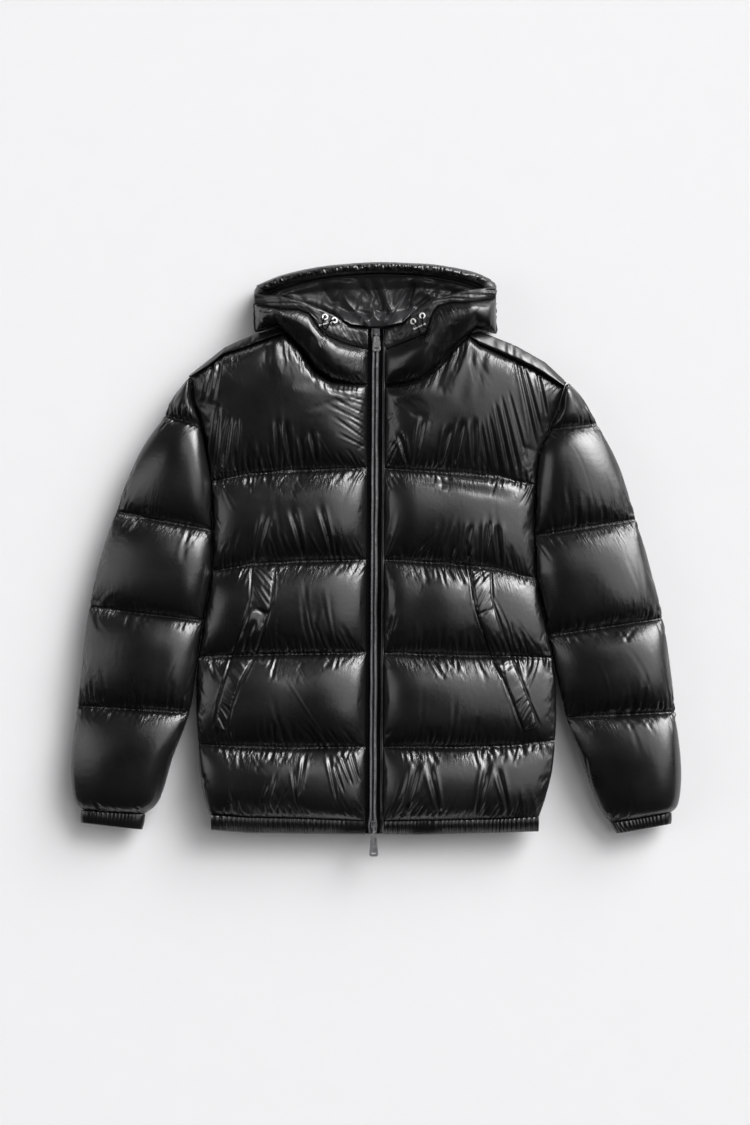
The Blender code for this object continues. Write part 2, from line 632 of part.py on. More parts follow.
def back_mesh():
    """The back panel: a plain inner face up, quilted underneath where it rests on the surface."""
    lines = back_lines()
    rows = [(lines[n], lines[n + 1], t) for n in range(len(lines) - 1) for t in baffle_steps(n)]
    rows.append((lines[-2], lines[-1], 1.0))
    upper, lower = [], []
    for above, below, t in rows:
        right_y = (1 - t) * above[0][1] + t * below[0][1]
        left_y = (1 - t) * above[-1][1] + t * below[-1][1]
        right = side_x(-1, right_y) + notch(right_y, t)
        left = side_x(1, left_y) - notch(left_y, t)
        if t == 0.0 and above is lines[0]:
            right, left = above[0][0], above[-1][0]

        def place(share):
            top = above[0][0] + share * (above[-1][0] - above[0][0])
            bottom = below[0][0] + share * (below[-1][0] - below[0][0])
            y = (1 - t) * on_line(above, top) + t * on_line(below, bottom)
            return right + share * (left - right), y

        def under(share):
            rolled = roll(min(share, 1 - share) / BACK_ROLL)
            edge = LAYER_Z - LAYER_GAP - EDGE_LOFT
            return (1 - rolled) * edge + rolled * GROOVE * (1 - rest(t))

        upper.append([(*place(share), LAYER_Z - LAYER_GAP) for share in BACK_TOP_COLUMNS])
        lower.append([(*place(share), under(share)) for share in BACK_COLUMNS])
    return pad_mesh(upper, lower)


def strip_mesh(inner_line, outer_line):
    """A shoulder strip: the narrow padded front edge of the yoke."""
    upper, lower = [], []
    start, end = inner_line[0][0], inner_line[-1][0]
    for column in FRONT_COLUMNS[:SHOULDER_COLUMNS]:
        x = start + column * (end - start)
        low_y, high_y = on_line(inner_line, x) + 2 * SEAM_GAP, on_line(outer_line, x)
        row = []
        for share in STRIP_STEPS:
            rise = STRIP_LOFT + STRIP_ROUND * math.sin(math.pi * share) - STRIP_FALL * share
            row.append((x, low_y + share * (high_y - low_y), LAYER_Z + LAYER_GAP + rise))
        upper.append(row)
        lower.append([(x, low_y, LAYER_Z + LAYER_GAP), (x, high_y, LAYER_Z + LAYER_GAP)])
    return pad_mesh(upper, lower)


def hem_level(y):
    """The level between the front and back hem bands, which droop towards their free edge."""
    return LAYER_Z + HEM_DROOP * min(0.0, y - HEM_TOP_Y)


def hem_mesh(side):
    """The gathered hem band under one front."""
    top = front_lines(side)[-1][0]
    low = HEM_LOW[side]
    upper, lower = [], []
    columns = 2 * HEM_WAVES
    start = side_x(side, HEM_TOP_Y - HEM_LOFT) - side * HEM_INSET
    end = zip_x(ZIP_BOTTOM_Y) + side * ZIP_CHANNEL
    for share, full in HEM_STEPS:
        row_up, row_low = [], []
        for n in range(columns + 1):
            x = start + (end - start) * n / columns
            y = (1 - share) * (on_line(top, x) - 2 * SEAM_GAP) + share * on_line(low, x)
            wave = GATHER * (1 if n % 2 else -1) if 0 < n < columns else 0.0
            x += (zip_x(y) + side * ZIP_CHANNEL - end) * n / columns
            row_up.append((x, y, hem_level(y) + LAYER_GAP + HEM_LOFT * full + wave))
            if n % (2 * HEM_PLAIN_STEP) == 0:
                row_low.append((x, y, hem_level(y) + LAYER_GAP))
        upper.append(row_up)
        lower.append(row_low)
    return pad_mesh(upper, lower)


def hem_back_mesh():
    """The hem band under the back."""
    top = back_lines()[-1]
    low = HEM_LOW[-1] + HEM_LOW[1]
    upper, lower = [], []
    start = side_x(-1, HEM_TOP_Y - HEM_LOFT) + HEM_INSET
    end = side_x(1, HEM_TOP_Y - HEM_LOFT) - HEM_INSET
    for share, full in HEM_STEPS:
        row_up, row_low = [], []
        for n in range(HEM_BACK_COLUMNS + 1):
            x = start + (end - start) * n / HEM_BACK_COLUMNS
            y = (1 - share) * (on_line(top, x) - 2 * SEAM_GAP) + share * on_line(low, x)
            row_low.append((x, y, hem_level(y) - LAYER_GAP - HEM_LOFT * full))
            if n % HEM_PLAIN_STEP == 0:
                row_up.append((x, y, hem_level(y) - LAYER_GAP))
        upper.append(row_up)
        lower.append(row_low)
    return pad_mesh(upper, lower)


# ---------------------------------------------------------------- sleeves and cuffs

def across(row, share):
    """Plan position across a sleeve: -1 at its outer edge, 1 at its inner edge."""
    outer, inner = row
    half = (share + 1) / 2
    return outer[0] + half * (inner[0] - outer[0]), outer[1] + half * (inner[1] - outer[1])


def sleeve_edges(rows, side, along):
    """The two edges of a sleeve at a place along it."""
    index = min(int(along), 4)
    t = along - index
    outer = Vector((read_table(rows, "outer_x", along), read_table(rows, "outer_y", along)))
    inner = Vector((read_table(rows, "inner_x", along), read_table(rows, "inner_y", along)))
    width = (inner - outer).normalized()
    outer += width * NOTCH * (1 - loft(t))
    limit = side_x(side, inner.y) + side * SLEEVE_GAP
    if inner.y > BESIDE_BODY_Y and side * (limit - inner.x) > 0:
        inner.x = limit
    return outer, inner, t


def flat_hollow(ends, level):
    """A ring of the flattened hollow inside a sleeve or cuff."""
    ring = []
    for share in HOLLOW_TOP + HOLLOW_UNDER:
        sign = 1 if len(ring) < len(HOLLOW_TOP) else -1
        half = HOLLOW_HALF * (1 - (share / HOLLOW_REACH) ** 2)
        ring.append((*across(ends, share), level + sign * half))
    return ring


def sleeve_mesh(rows, side):
    outer_rings, inner_rings = [], []
    places = [n + t for n in range(5) for t in SLEEVE_STEPS] + [5.0]
    for along in places:
        outer, inner, t = sleeve_edges(rows, side, along)
        level = read_table(rows, "mid_z", along)
        crown = read_table(rows, "crown", along)
        at_end = along in (0.0, 5.0)
        full = SEAM_LOFT + (crown - SEAM_LOFT) * (0.0 if at_end else loft(t))
        bottom = GROOVE * (1 - (0.0 if at_end else rest(t)))
        ring = []
        for n, share in enumerate(SECTION_TOP):
            height = full * (1 - abs(share) ** 2.4) ** 0.5
            height += PUCKER * gathered(t, SLEEVE_STEPS, (share + 1) / 2, n)
            ring.append((*across((outer, inner), share), level + height))
        for share in SECTION_UNDER:
            drop = roll((1 - abs(share)) / UNDER_FLAT)
            ring.append((*across((outer, inner), share), level - (level - bottom) * drop))
        outer_rings.append(ring)
        inner_rings.append(flat_hollow((outer, inner), level))
    return tube_mesh(outer_rings, inner_rings)


def cuff_mesh(rows):
    """A flattened elastic tube, gathered on top."""
    outer_rings, inner_rings = [], []
    for along, share_of_loft in CUFF_STEPS:
        ends = [
            Vector((read_table(rows, edge + "_x", along), read_table(rows, edge + "_y", along)))
            for edge in ("outer", "inner")
        ]
        level = read_table(rows, "mid_z", along)
        full = CUFF_LOFT * share_of_loft
        ring = []
        for n in range(2 * CUFF_WAVES + 1):
            share = -1 + n / CUFF_WAVES
            height = full * (1 - abs(share) ** 4) ** 0.5
            if 1 < n < 2 * CUFF_WAVES - 1:
                height += GATHER * (1 if n % 2 else -1)
            ring.append((*across(ends, share), level + height))
        for share in CUFF_UNDER:
            ring.append((*across(ends, share), level - full * (1 - abs(share) ** 4) ** 0.5))
        outer_rings.append(ring)
        inner_rings.append(flat_hollow(ends, level))
    return tube_mesh(outer_rings, inner_rings)


# ---------------------------------------------------------------- hood

def neck_level(share, t):
    """The inner face of the chin panels and bands: down at the side and the zip, lifted between."""
    lifted = smoothstep(0.08, 0.25, share) * (1 - smoothstep(0.62, 0.95, share))
    return LAYER_Z + LAYER_GAP + CHIN_RISE * (1 - t) * lifted


def chin_columns(line):
    """Shares across a chin panel at each point of its lower line, halfway between, and near its side."""
    shares = [(x - line[0][0]) / (line[-1][0] - line[0][0]) for x, _ in line]
    halves = [(a + b) / 2 for a, b in zip(shares, shares[1:])]
    return sorted([*shares, *halves, CHIN_EDGE])


def chin_mesh(upper_line, lower_line):
    columns = chin_columns(lower_line)
    upper, lower = [], []
    for t in CHIN_STEPS:
        row_up, row_low = [], []
        for n, share in enumerate(columns):
            x, y = between(upper_line, lower_line, share, t)
            y -= (1 - t) * 2 * SEAM_GAP
            at_side, at_zip = roll(share / CHIN_SIDE_ROLL), roll((1 - share) / CHIN_ZIP_ROLL)
            base = EDGE_LOFT + (SEAM_LOFT - EDGE_LOFT) * at_side
            height = base + CHIN_CROWN * at_side * at_zip**0.8 * loft(t)
            row_up.append((x, y, neck_level(share, t) + height))
            if n % 2 == 0 or n == len(columns) - 1:
                row_low.append((x, y, neck_level(share, t)))
        upper.append(row_up)
        lower.append(row_low)
    return pad_mesh(upper, lower)


def band_mesh(upper_line, lower_line, columns):
    """The drawcord channel along one side of the face opening."""
    upper, lower = [], []
    for t in BAND_STEPS:
        row_up, row_low = [], []
        for n, share in enumerate(columns):
            x, y = between(upper_line, lower_line, share, t)
            y += t * SEAM_GAP
            at_side = BAND_END + (1 - BAND_END) * roll(share / 0.1)
            height = BAND_LOFT * (0.6 + 0.4 * math.sin(math.pi * t)) * at_side
            row_up.append((x, y, neck_level(share, 0.0) + height))
            if n % 2 == 0 or n == len(columns) - 1:
                row_low.append((x, y, neck_level(share, 0.0)))
        upper.append(row_up)
        lower.append(row_low)
    return pad_mesh(upper, lower)


def hood_ring(column):
    """One column of the hood's table, smoothed all round."""
    values = [getattr(station, column) for station in HOOD]
    count = len(values)
    looped = values[-2:] + values + values[:3]
    places = list(range(-2, count + 3))
    return [through(looped, places, n * count / HOOD_POINTS) for n in range(HOOD_POINTS)]


def hood_shell_mesh():
    """The hood as a padded bowl on its back: closed underneath, open at the face."""
    outer = np.array([hood_ring("outer_x"), hood_ring("outer_y")]).T
    inner = np.array([hood_ring("inner_x"), hood_ring("inner_y")]).T
    rim = np.array(hood_ring("rim_z"))
    inward = inner - outer
    inward /= np.linalg.norm(inward, axis=1)[:, None]
    loops = []
    for level in HOOD_LEVELS:
        plan = outer + level.across * (inner - outer) + level.inset * inward
        loops.append([(x, y, z) for (x, y), z in zip(plan, rim * level.height)])
    middle = inner.mean(axis=0)
    toward = middle - inner
    toward /= np.linalg.norm(toward, axis=1)[:, None]
    low = inner + toward * np.array([6.0, 2.5])
    loops.append([(x, y, HOOD_FLOOR) for x, y in low])
    points = [point for loop in loops for point in loop]
    faces = []
    for n in range(len(loops) - 1):
        for c in range(HOOD_POINTS):
            d = (c + 1) % HOOD_POINTS
            a, b = n * HOOD_POINTS, (n + 1) * HOOD_POINTS
            faces.append((a + c, a + d, b + d, b + c))
    for n, z in ((0, 0.0), (len(loops) - 1, HOOD_FLOOR)):
        points.append((middle[0], middle[1], z))
        hub = len(points) - 1
        for c in range(HOOD_POINTS):
            faces.append((n * HOOD_POINTS + c, n * HOOD_POINTS + (c + 1) % HOOD_POINTS, hub))
    return mesh_from(points, faces)


def hood_edge(column_x, column_y, first, last, share):
    """A point on the hood's outline or inner edge, between two of its stations by name."""
    names = [station.name for station in HOOD]
    start, end = names.index(first), names.index(last)
    places = list(range(start, end + 1))
    place = start + share * (end - start)
    xs = [getattr(HOOD[n], column_x) for n in places]
    ys = [getattr(HOOD[n], column_y) for n in places]
    rims = [HOOD[n].rim_z for n in places]
    return through(xs, places, place), through(ys, places, place), through(rims, places, place)


def hood_rim_mesh():
    """The gathered elastic edge over the top of the face opening, as a ribbed tube along the arc."""
    upper, lower = [], []
    for n in range(2 * RIM_WAVES + 1):
        share = RIM_SPAN[0] + (RIM_SPAN[1] - RIM_SPAN[0]) * n / (2 * RIM_WAVES)
        ox, oy, rim = hood_edge("outer_x", "outer_y", "corner right", "corner left", share)
        ix, iy, _ = hood_edge("inner_x", "inner_y", "corner right", "corner left", share)
        outer, inner = Vector((ox, oy)), Vector((ix, iy))
        inner = outer + (inner - outer).normalized() * RIM_WIDTH
        wave = GATHER * (1 if n % 2 else -1)
        at_end = 0.6 + 0.4 * roll(min(share, 1 - share) / 0.05)
        upper.append(
            [
                (*(outer + (inner - outer) * a), rim + RIM_LIFT + (RIM_HEIGHT * at_end + wave) * h)
                for a, h in RIM_SECTION
            ]
        )
        lower.append([(*outer, rim + RIM_LIFT), (*inner, rim + RIM_LIFT)])
    return pad_mesh(upper, lower)


def fold_height(x, y):
    """What the lining's folds add to its height."""
    total = 0.0
    for fold in LINING_FOLDS:
        start, end = Vector((fold.x0, fold.y0)), Vector((fold.x1, fold.y1))
        run = end - start
        share = min(max((Vector((x, y)) - start).dot(run) / run.length_squared, 0.0), 1.0)
        away = (Vector((x, y)) - start - run * share).length
        total += fold.height * math.exp(-((away / (0.6 * fold.width)) ** 2))
    return total


def hood_lining_mesh():
    """The lining, a thin sheet in the bowl of the hood, in soft folds."""
    front_start, front_end, front_y = LINING_FRONT
    upper, lower = [], []
    for r in range(LINING_ROWS + 1):
        t = r / LINING_ROWS
        row_up, row_low = [], []
        for c in range(LINING_COLUMNS + 1):
            share = c / LINING_COLUMNS
            tx, ty, rim = hood_edge("inner_x", "inner_y", "corner right", "corner left", share)
            bx = front_start + share * (front_end - front_start)
            x, y = tx + t * (bx - tx), ty + t * (front_y - ty)
            x += LINING_INSET * ((share == 0) - (share == 1))
            y -= LINING_INSET * (r == 0)
            side = min(share, 1 - share) * LINING_COLUMNS
            climb = max(1 - t / 0.3, 0.0) ** 1.5
            border = max(1 - side / 3.0, 0.0)
            wall = max(climb, (0.75 if t < 1 else 0.4) * border)
            floor = HOOD_FLOOR + LINING_LIFT
            z = floor + max(rim - LINING_TOP - floor, 0.0) * min(wall, 1.0)
            z += max(fold_height(x, y), -0.6) * smoothstep(0.0, 2.0, side) * smoothstep(0.0, 0.2, t)
            row_up.append((x, y, z + LINING_THICK))
            row_low.append((x, y, z))
        upper.append(row_up)
        lower.append(row_low)
    return pad_mesh(upper, lower)


# ---------------------------------------------------------------- what lies on a panel


def panel_tree(panel):
    """The finished surface of a panel, for placing what lies on it."""
    return BVHTree.FromObject(panel, bpy.context.evaluated_depsgraph_get())


def surface_at(tree, x, y):
    """Height in millimetres of a panel's outer surface at a plan position, or None beside it."""
    place = tree.ray_cast(Vector((x * MM, y * MM, 1.0)), Vector((0, 0, -1)))[0]
    return place.z / MM if place else None


def welt_mesh(rows, tree):
    """A pocket welt, rounded across and a little proud of the front under it."""
    upper, lower = [], []
    count = 3 * (len(rows) - 1)
    places = list(range(len(rows)))
    for n in range(count + 1):
        place = n / 3
        side = Vector([through([getattr(r, k) for r in rows], places, place) for k in ("side_x", "side_y")])
        edge = Vector([through([getattr(r, k) for r in rows], places, place) for k in ("zip_x", "zip_y")])
        crossed = WELT_PINCH if n == 3 else 1.0
        row_up, row_low = [], []
        for share in (0.0, 0.12, 0.5, 0.88, 1.0):
            spot = side + (edge - side) * share
            level = surface_at(tree, spot.x, spot.y)
            rise = WELT_LOFT * crossed * (0.25 + 0.75 * math.sin(math.pi * share))
            row_up.append((spot.x, spot.y, level + rise))
            row_low.append((spot.x, spot.y, level - WELT_SINK))
        upper.append(row_up)
        lower.append(row_low)
    return pad_mesh(upper, lower)


def trim_to(piece, panel, cutters):
    """Cuts a piece to the panel that it lies on, a seam's gap clear of it."""
    cutter = bpy.data.objects.new(piece.name + "_bed", panel.data)
    cutter.location = (0, 0, SEAM_GAP * MM)
    cutter.hide_render = True
    cutter.display_type = "WIRE"
    cutters.objects.link(cutter)
    cut = piece.modifiers.new("bed", "BOOLEAN")
    cut.operation = "DIFFERENCE"
    cut.solver = "EXACT"
    cut.object = cutter


# ---------------------------------------------------------------- zip, pulls and drawcord


def box_mesh(size, bevel=0.0):
    """A box about its own middle, with rounded edges."""
    shape = bmesh.new()
    bmesh.ops.create_cube(shape, size=1.0)
    bmesh.ops.scale(shape, vec=[c * MM for c in size], verts=shape.verts)
    if bevel:
        bmesh.ops.bevel(shape, geom=shape.edges, offset=bevel * MM, segments=2, affect="EDGES")
    mesh = bpy.data.meshes.new("box")
    shape.to_mesh(mesh)
    shape.free()
    return mesh


def zip_strip_mesh(near, far, bottom, thick):
    """A straight strip of the zip: its two edges are measured from the zip's middle line."""
    upper, lower = [], []
    for n in range(ZIP_ROWS + 1):
        y = ZIP_TOP_Y + (ZIP_BOTTOM_Y - ZIP_TOP_Y) * n / ZIP_ROWS
        upper.append([(zip_x(y) + near, y, bottom + thick), (zip_x(y) + far, y, bottom + thick)])
        lower.append([(zip_x(y) + near, y, bottom), (zip_x(y) + far, y, bottom)])
    return pad_mesh(upper, lower)


def add_slider(name, x, y, jacket, cutters, finish):
    """A slider's top plate over the chain, with the two posts that hold its pull."""
    slider = add_object(name, box_mesh(SLIDER_SIZE, 0.5), jacket, finish)
    slider.location = (x * MM, y * MM, (SLIDER_TOP - SLIDER_SIZE[2] / 2) * MM)
    post_z = SLIDER_TOP - POST_SINK + POST_SIZE[2] / 2
    for side in (-1, 1):
        post = bpy.data.objects.new(f"{name}_post", box_mesh(POST_SIZE))
        post.location = ((x + side * POST_X) * MM, (y - HINGE_BACK) * MM, post_z * MM)
        post.hide_render = True
        post.display_type = "WIRE"
        cutters.objects.link(post)
        join = slider.modifiers.new("post", "BOOLEAN")
        join.operation = "UNION"
        join.solver = "EXACT"
        join.object = post


def pull_curve(width, length, neck):
    """A pull as a flat outline from its hinge: a neck and a flared tab with a slot."""
    half, slot_half = width / 2, SLOT_WIDTH / 2
    shoulder = 0.72 * half
    stem = POST_X - POST_SIZE[0] / 2 - SEAM_GAP
    right_half = (
        (stem, PULL_EYE), (stem, -neck), (shoulder, -neck - 1.5),
        (half, PULL_CORNER - length), (half - PULL_CORNER, -length),
    )
    outline = right_half + tuple((-x, y) for x, y in reversed(right_half))
    near, far = SLOT_NEAR - length, SLOT_FAR - length
    slot = ((-slot_half, near), (slot_half, near), (slot_half, far), (-slot_half, far))
    curve = bpy.data.curves.new("pull", "CURVE")
    curve.dimensions = "2D"
    curve.fill_mode = "BOTH"
    curve.extrude = PULL_THICK / 2 * MM
    for path in (outline, slot):
        line = curve.splines.new("POLY")
        line.points.add(len(path) - 1)
        for point, (x, y) in zip(line.points, path):
            point.co = (x * MM, y * MM, 0, 1)
        line.use_cyclic_u = True
    return curve


def profile_mesh(profile, closed):
    """A profile in the XZ plane, ready to be turned."""
    mesh = bpy.data.meshes.new("profile")
    count = len(profile)
    edges = [(n, (n + 1) % count) for n in range(count if closed else count - 1)]
    mesh.from_pydata([(x * MM, 0, z * MM) for x, z in profile], edges, [])
    return mesh


def add_turned(name, profile, closed, axis, steps, jacket, finish):
    """A turned piece: its profile swept right round an axis."""
    piece = add_object(name, profile_mesh(profile, closed), jacket, finish)
    turn = piece.modifiers.new("turn", "SCREW")
    turn.axis = axis
    turn.steps = turn.render_steps = steps
    turn.use_merge_vertices = True
    turn.merge_threshold = 0.00001
    turn.use_smooth_shade = True
    return piece


def top_level(trees, x, y):
    """Height in millimetres of the highest of several panels round a plan position."""
    found = []
    for dx, dy in ((0, 0), (1, 0), (-1, 0), (0, 1), (0, -1)):
        found += [surface_at(tree, x + dx, y + dy) for tree in trees]
    return max(level for level in found if level is not None)


def laid_on(trees, x, y, reach, lift):
    """A matrix that lays a small round piece, reach from its middle to its edge, on panels."""
    spots = [Vector((x + a * reach, y + b * reach)) for a, b in ((1, 0), (-1, 0), (0, 1), (0, -1))]
    levels = [top_level(trees, *spot) for spot in spots]
    right = Vector((*(spots[0] - spots[1]), levels[0] - levels[1])).normalized()
    ahead = Vector((*(spots[2] - spots[3]), levels[2] - levels[3])).normalized()
    up = right.cross(ahead).normalized()
    ahead = up.cross(right)
    turned = Matrix((right, ahead, up)).transposed().to_4x4()
    middle = max(sum(levels) / 4, top_level(trees, x, y))
    place = (Vector((x, y, middle)) + up * lift) * MM
    return Matrix.Translation(place) @ turned


def toggle_place(trees, toggle):
    """Where a toggle lies: its two ends, each clear of the cloth under it."""
    ends = []
    for x, y in ((toggle.x0, toggle.y0), (toggle.x1, toggle.y1)):
        ends.append(Vector((x, y, top_level(trees, x, y) + TOGGLE_LIFT)))
    return ends


def smooth_path(points, count):
    """Points along a smooth curve through a route's own points."""
    places = list(range(len(points)))
    spots = [n * (len(points) - 1) / (count - 1) for n in range(count)]
    return [[through([p[k] for p in points], places, spot) for k in range(3)] for spot in spots]


def tube_curve(name, points, diameter):
    """A round cord along a path in millimetres."""
    curve = bpy.data.curves.new(name, "CURVE")
    curve.dimensions = "3D"
    curve.bevel_depth = diameter / 2 * MM
    curve.bevel_resolution = 2
    curve.use_fill_caps = True
    line = curve.splines.new("POLY")
    line.points.add(len(points) - 1)
    for point, place in zip(line.points, points):
        point.co = (*[c * MM for c in place], 1)
    return curve


# ---------------------------------------------------------------- the jacket


def build():
    clear_scene()
    jacket = new_collection("puffer_jacket")
    cutters = new_collection("cutters")
    shell = material("black glossy nylon", (0.004, 0.004, 0.0045), 0.22)
    lining = material("black lining", (0.006, 0.006, 0.0065), 0.3)
    tape = material("zip tape", (0.01, 0.01, 0.01), 0.6)
    gunmetal = material("gunmetal", (0.18, 0.18, 0.18), 0.3, 1.0)
    silver = material("silver", (0.7, 0.7, 0.7), 0.25, 1.0)
    cord = material("cord", (0.01, 0.01, 0.01), 0.8)

    panels = {}

    def cloth(name, mesh, finish=shell):
        panels[name] = add_object(name, mesh, jacket, finish, smooth=True)

    cloth("back", back_mesh())
    cloth("front_right", front_mesh(-1))
    cloth("front_left", front_mesh(1))
    cloth("shoulder_right", strip_mesh(RIGHT_NECK, RIGHT_SHOULDER))
    cloth("shoulder_left", strip_mesh(LEFT_NECK, LEFT_SHOULDER))
    cloth("sleeve_right", sleeve_mesh(RIGHT_SLEEVE, -1))
    cloth("sleeve_left", sleeve_mesh(LEFT_SLEEVE, 1))
    cloth("cuff_right", cuff_mesh(RIGHT_CUFF))
    cloth("cuff_left", cuff_mesh(LEFT_CUFF))
    cloth("hem_right", hem_mesh(-1))
    cloth("hem_left", hem_mesh(1))
    cloth("hem_back", hem_back_mesh())
    cloth("chin_right", chin_mesh(RIGHT_CHIN, RIGHT_CHIN_LOW))
    cloth("chin_left", chin_mesh(LEFT_CHIN, LEFT_CHIN_LOW))
    cloth("band_right", band_mesh(RIGHT_BAND, RIGHT_CHIN, chin_columns(RIGHT_CHIN_LOW)))
    cloth("band_left", band_mesh(LEFT_BAND, LEFT_CHIN, chin_columns(LEFT_CHIN_LOW)))
    cloth("hood_shell", hood_shell_mesh())
    cloth("hood_rim", hood_rim_mesh())
    cloth("hood_lining", hood_lining_mesh(), lining)

    for name, rows in (("right", RIGHT_WELT), ("left", LEFT_WELT)):
        front = panels["front_" + name]
        welt = add_object("pocket_" + name, welt_mesh(rows, panel_tree(front)), jacket, shell)
        trim_to(welt, front, cutters)

    bed = [panel_tree(panels["hood_lining"])]
    path = smooth_path(cord_route(bed, LOOP_STOPS), LOOP_POINTS)
    loop = bpy.data.objects.new("hanger_loop", tube_curve("hanger_loop", path, LOOP_DIAMETER))
    loop.data.materials.append(lining)
    jacket.objects.link(loop)

    add_zip(jacket, cutters, tape, gunmetal)
    add_drawcord(jacket, panels, silver, cord)


def add_zip(jacket, cutters, tape, gunmetal):
    half = CHAIN_WIDTH / 2
    edge = ZIP_CHANNEL - SEAM_GAP
    right = zip_strip_mesh(-edge, -half - SEAM_GAP, ZIP_Z, TAPE_THICK)
    left = zip_strip_mesh(half + SEAM_GAP, edge, ZIP_Z, TAPE_THICK)
    add_object("zip_tape_right", right, jacket, tape)
    add_object("zip_tape_left", left, jacket, tape)
    chain = zip_strip_mesh(-half, half, ZIP_Z - CHAIN_SINK, CHAIN_THICK)
    add_object("zip_chain", chain, jacket, gunmetal)
    for name, y, pull in (("top", TOP_SLIDER_Y, TOP_PULL), ("bottom", BOTTOM_SLIDER_Y, BOTTOM_PULL)):
        x = zip_x(y)
        add_slider(f"slider_{name}", x, y, jacket, cutters, gunmetal)
        tab = bpy.data.objects.new(f"pull_{name}", pull_curve(pull.width, pull.length, pull.neck))
        tab.data.materials.append(gunmetal)
        tab.location = (x * MM, (y - HINGE_BACK) * MM, (SLIDER_TOP + HINGE_LIFT) * MM)
        tab.rotation_euler = (math.radians(pull.droop), 0, 0)
        jacket.objects.link(tab)


def cord_route(trees, stops, over=0.0):
    """A cord's points: each stop is a plan position and a lift off the cloth, or OVER a toggle."""
    return [(x, y, over if lift == OVER else top_level(trees, x, y) + lift) for x, y, lift in stops]


def add_drawcord(jacket, panels, silver, cord):
    ring = (
        (EYELET_RADIUS, EYELET_THICK / 4), (EYELET_RADIUS, -EYELET_THICK / 2),
        (EYELET_HOLE, -EYELET_THICK / 2), (EYELET_HOLE, EYELET_THICK / 4),
        ((EYELET_RADIUS + EYELET_HOLE) / 2, EYELET_THICK / 2),
    )
    end = TOGGLE_LENGTH / 2
    spindle = (
        (-end, 0.0), (-end, TOGGLE_FLANGE), (1.2 - end, TOGGLE_FLANGE),
        (1.6 - end, TOGGLE_RADIUS), (end - 1.6, TOGGLE_RADIUS),
        (end - 1.2, TOGGLE_FLANGE), (end, TOGGLE_FLANGE), (end, 0.0),
    )
    trees = {}
    for side in ("right", "left"):
        trees[side] = [panel_tree(panels[kind + side]) for kind in ("band_", "chin_")]
    for eyelet in EYELETS:
        near = trees["right" if eyelet.x < 0 else "left"]
        made = add_turned(eyelet.name, ring, True, "Z", 16, jacket, silver)
        made.matrix_world = laid_on(near, eyelet.x, eyelet.y, EYELET_RADIUS, EYELET_LIFT)
    for toggle in TOGGLES:
        side = "right" if toggle.x0 < 0 else "left"
        start, stop = toggle_place(trees[side], toggle)
        made = add_turned(toggle.name, spindle[::-1], False, "X", 12, jacket, silver)
        made.location = (start + stop) / 2 * MM
        made.rotation_mode = "QUATERNION"
        made.rotation_quaternion = (stop - start).to_track_quat("X", "Z")
        over = max(start.z, stop.z) + TOGGLE_RADIUS + CORD_DIAMETER / 2 + SEAM_GAP
        path = smooth_path(cord_route(trees[side], CORD_STOPS[side], over), CORD_POINTS[side])
        tube = bpy.data.objects.new(f"cord_{side}", tube_curve(f"cord_{side}", path, CORD_DIAMETER))
        tube.data.materials.append(cord)
        jacket.objects.link(tube)


build()
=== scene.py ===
# %% [markdown]
# This lesson dresses a hooded puffer jacket that lies flat with its front up. The shapes come from
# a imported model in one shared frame: X to the right, Y from the hem to the hood, Z up. Every new
# piece takes the place of one of its solids, in metres, so nothing is fitted afterwards.

# %% Load the frame
import math
from collections import namedtuple

import bmesh
import bpy
import numpy as np
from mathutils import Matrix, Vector
from mathutils.bvhtree import BVHTree


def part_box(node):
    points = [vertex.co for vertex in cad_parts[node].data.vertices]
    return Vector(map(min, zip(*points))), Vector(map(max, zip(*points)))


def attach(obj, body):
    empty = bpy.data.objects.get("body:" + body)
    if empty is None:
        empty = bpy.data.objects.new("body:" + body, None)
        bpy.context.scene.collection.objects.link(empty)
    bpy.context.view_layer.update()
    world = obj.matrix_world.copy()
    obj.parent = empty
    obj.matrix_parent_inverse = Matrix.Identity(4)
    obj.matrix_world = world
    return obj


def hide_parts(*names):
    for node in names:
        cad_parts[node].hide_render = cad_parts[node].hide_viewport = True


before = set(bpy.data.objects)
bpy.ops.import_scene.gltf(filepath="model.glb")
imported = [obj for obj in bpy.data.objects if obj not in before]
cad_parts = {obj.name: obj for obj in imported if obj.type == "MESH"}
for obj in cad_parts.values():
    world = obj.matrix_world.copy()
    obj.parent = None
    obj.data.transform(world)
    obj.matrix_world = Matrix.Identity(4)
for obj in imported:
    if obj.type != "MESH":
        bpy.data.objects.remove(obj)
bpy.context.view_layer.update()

MM = 0.001
SIDE_NAMES = {-1: "right", 1: "left"}  # the wearer's two sides, by the sign of X
bpy.ops.object.select_all(action="DESELECT")

# %% [markdown]
# The camera hangs five metres over the jacket and looks straight down, so the view is almost
# without perspective. The frame is 1575 mm high. The floor is pale paper.

# %% Camera and floor
FRAME_HEIGHT, DISTANCE, SENSOR = 1.575, 5.0, 36.0
CAMERA_PLACE = (-0.0017, -0.0035, 5.05)

lens = bpy.data.cameras.new("overhead")
lens.sensor_fit = "VERTICAL"
lens.sensor_height = SENSOR
lens.lens = SENSOR * DISTANCE / FRAME_HEIGHT
camera = bpy.data.objects.new("overhead", lens)
camera.location = CAMERA_PLACE
bpy.context.scene.collection.objects.link(camera)
bpy.context.scene.camera = camera

bpy.ops.mesh.primitive_plane_add(size=12.0, location=(0, 0, -0.0005))
floor = bpy.context.object
floor.name = "floor"
print("camera and floor:", camera.name, floor.name)

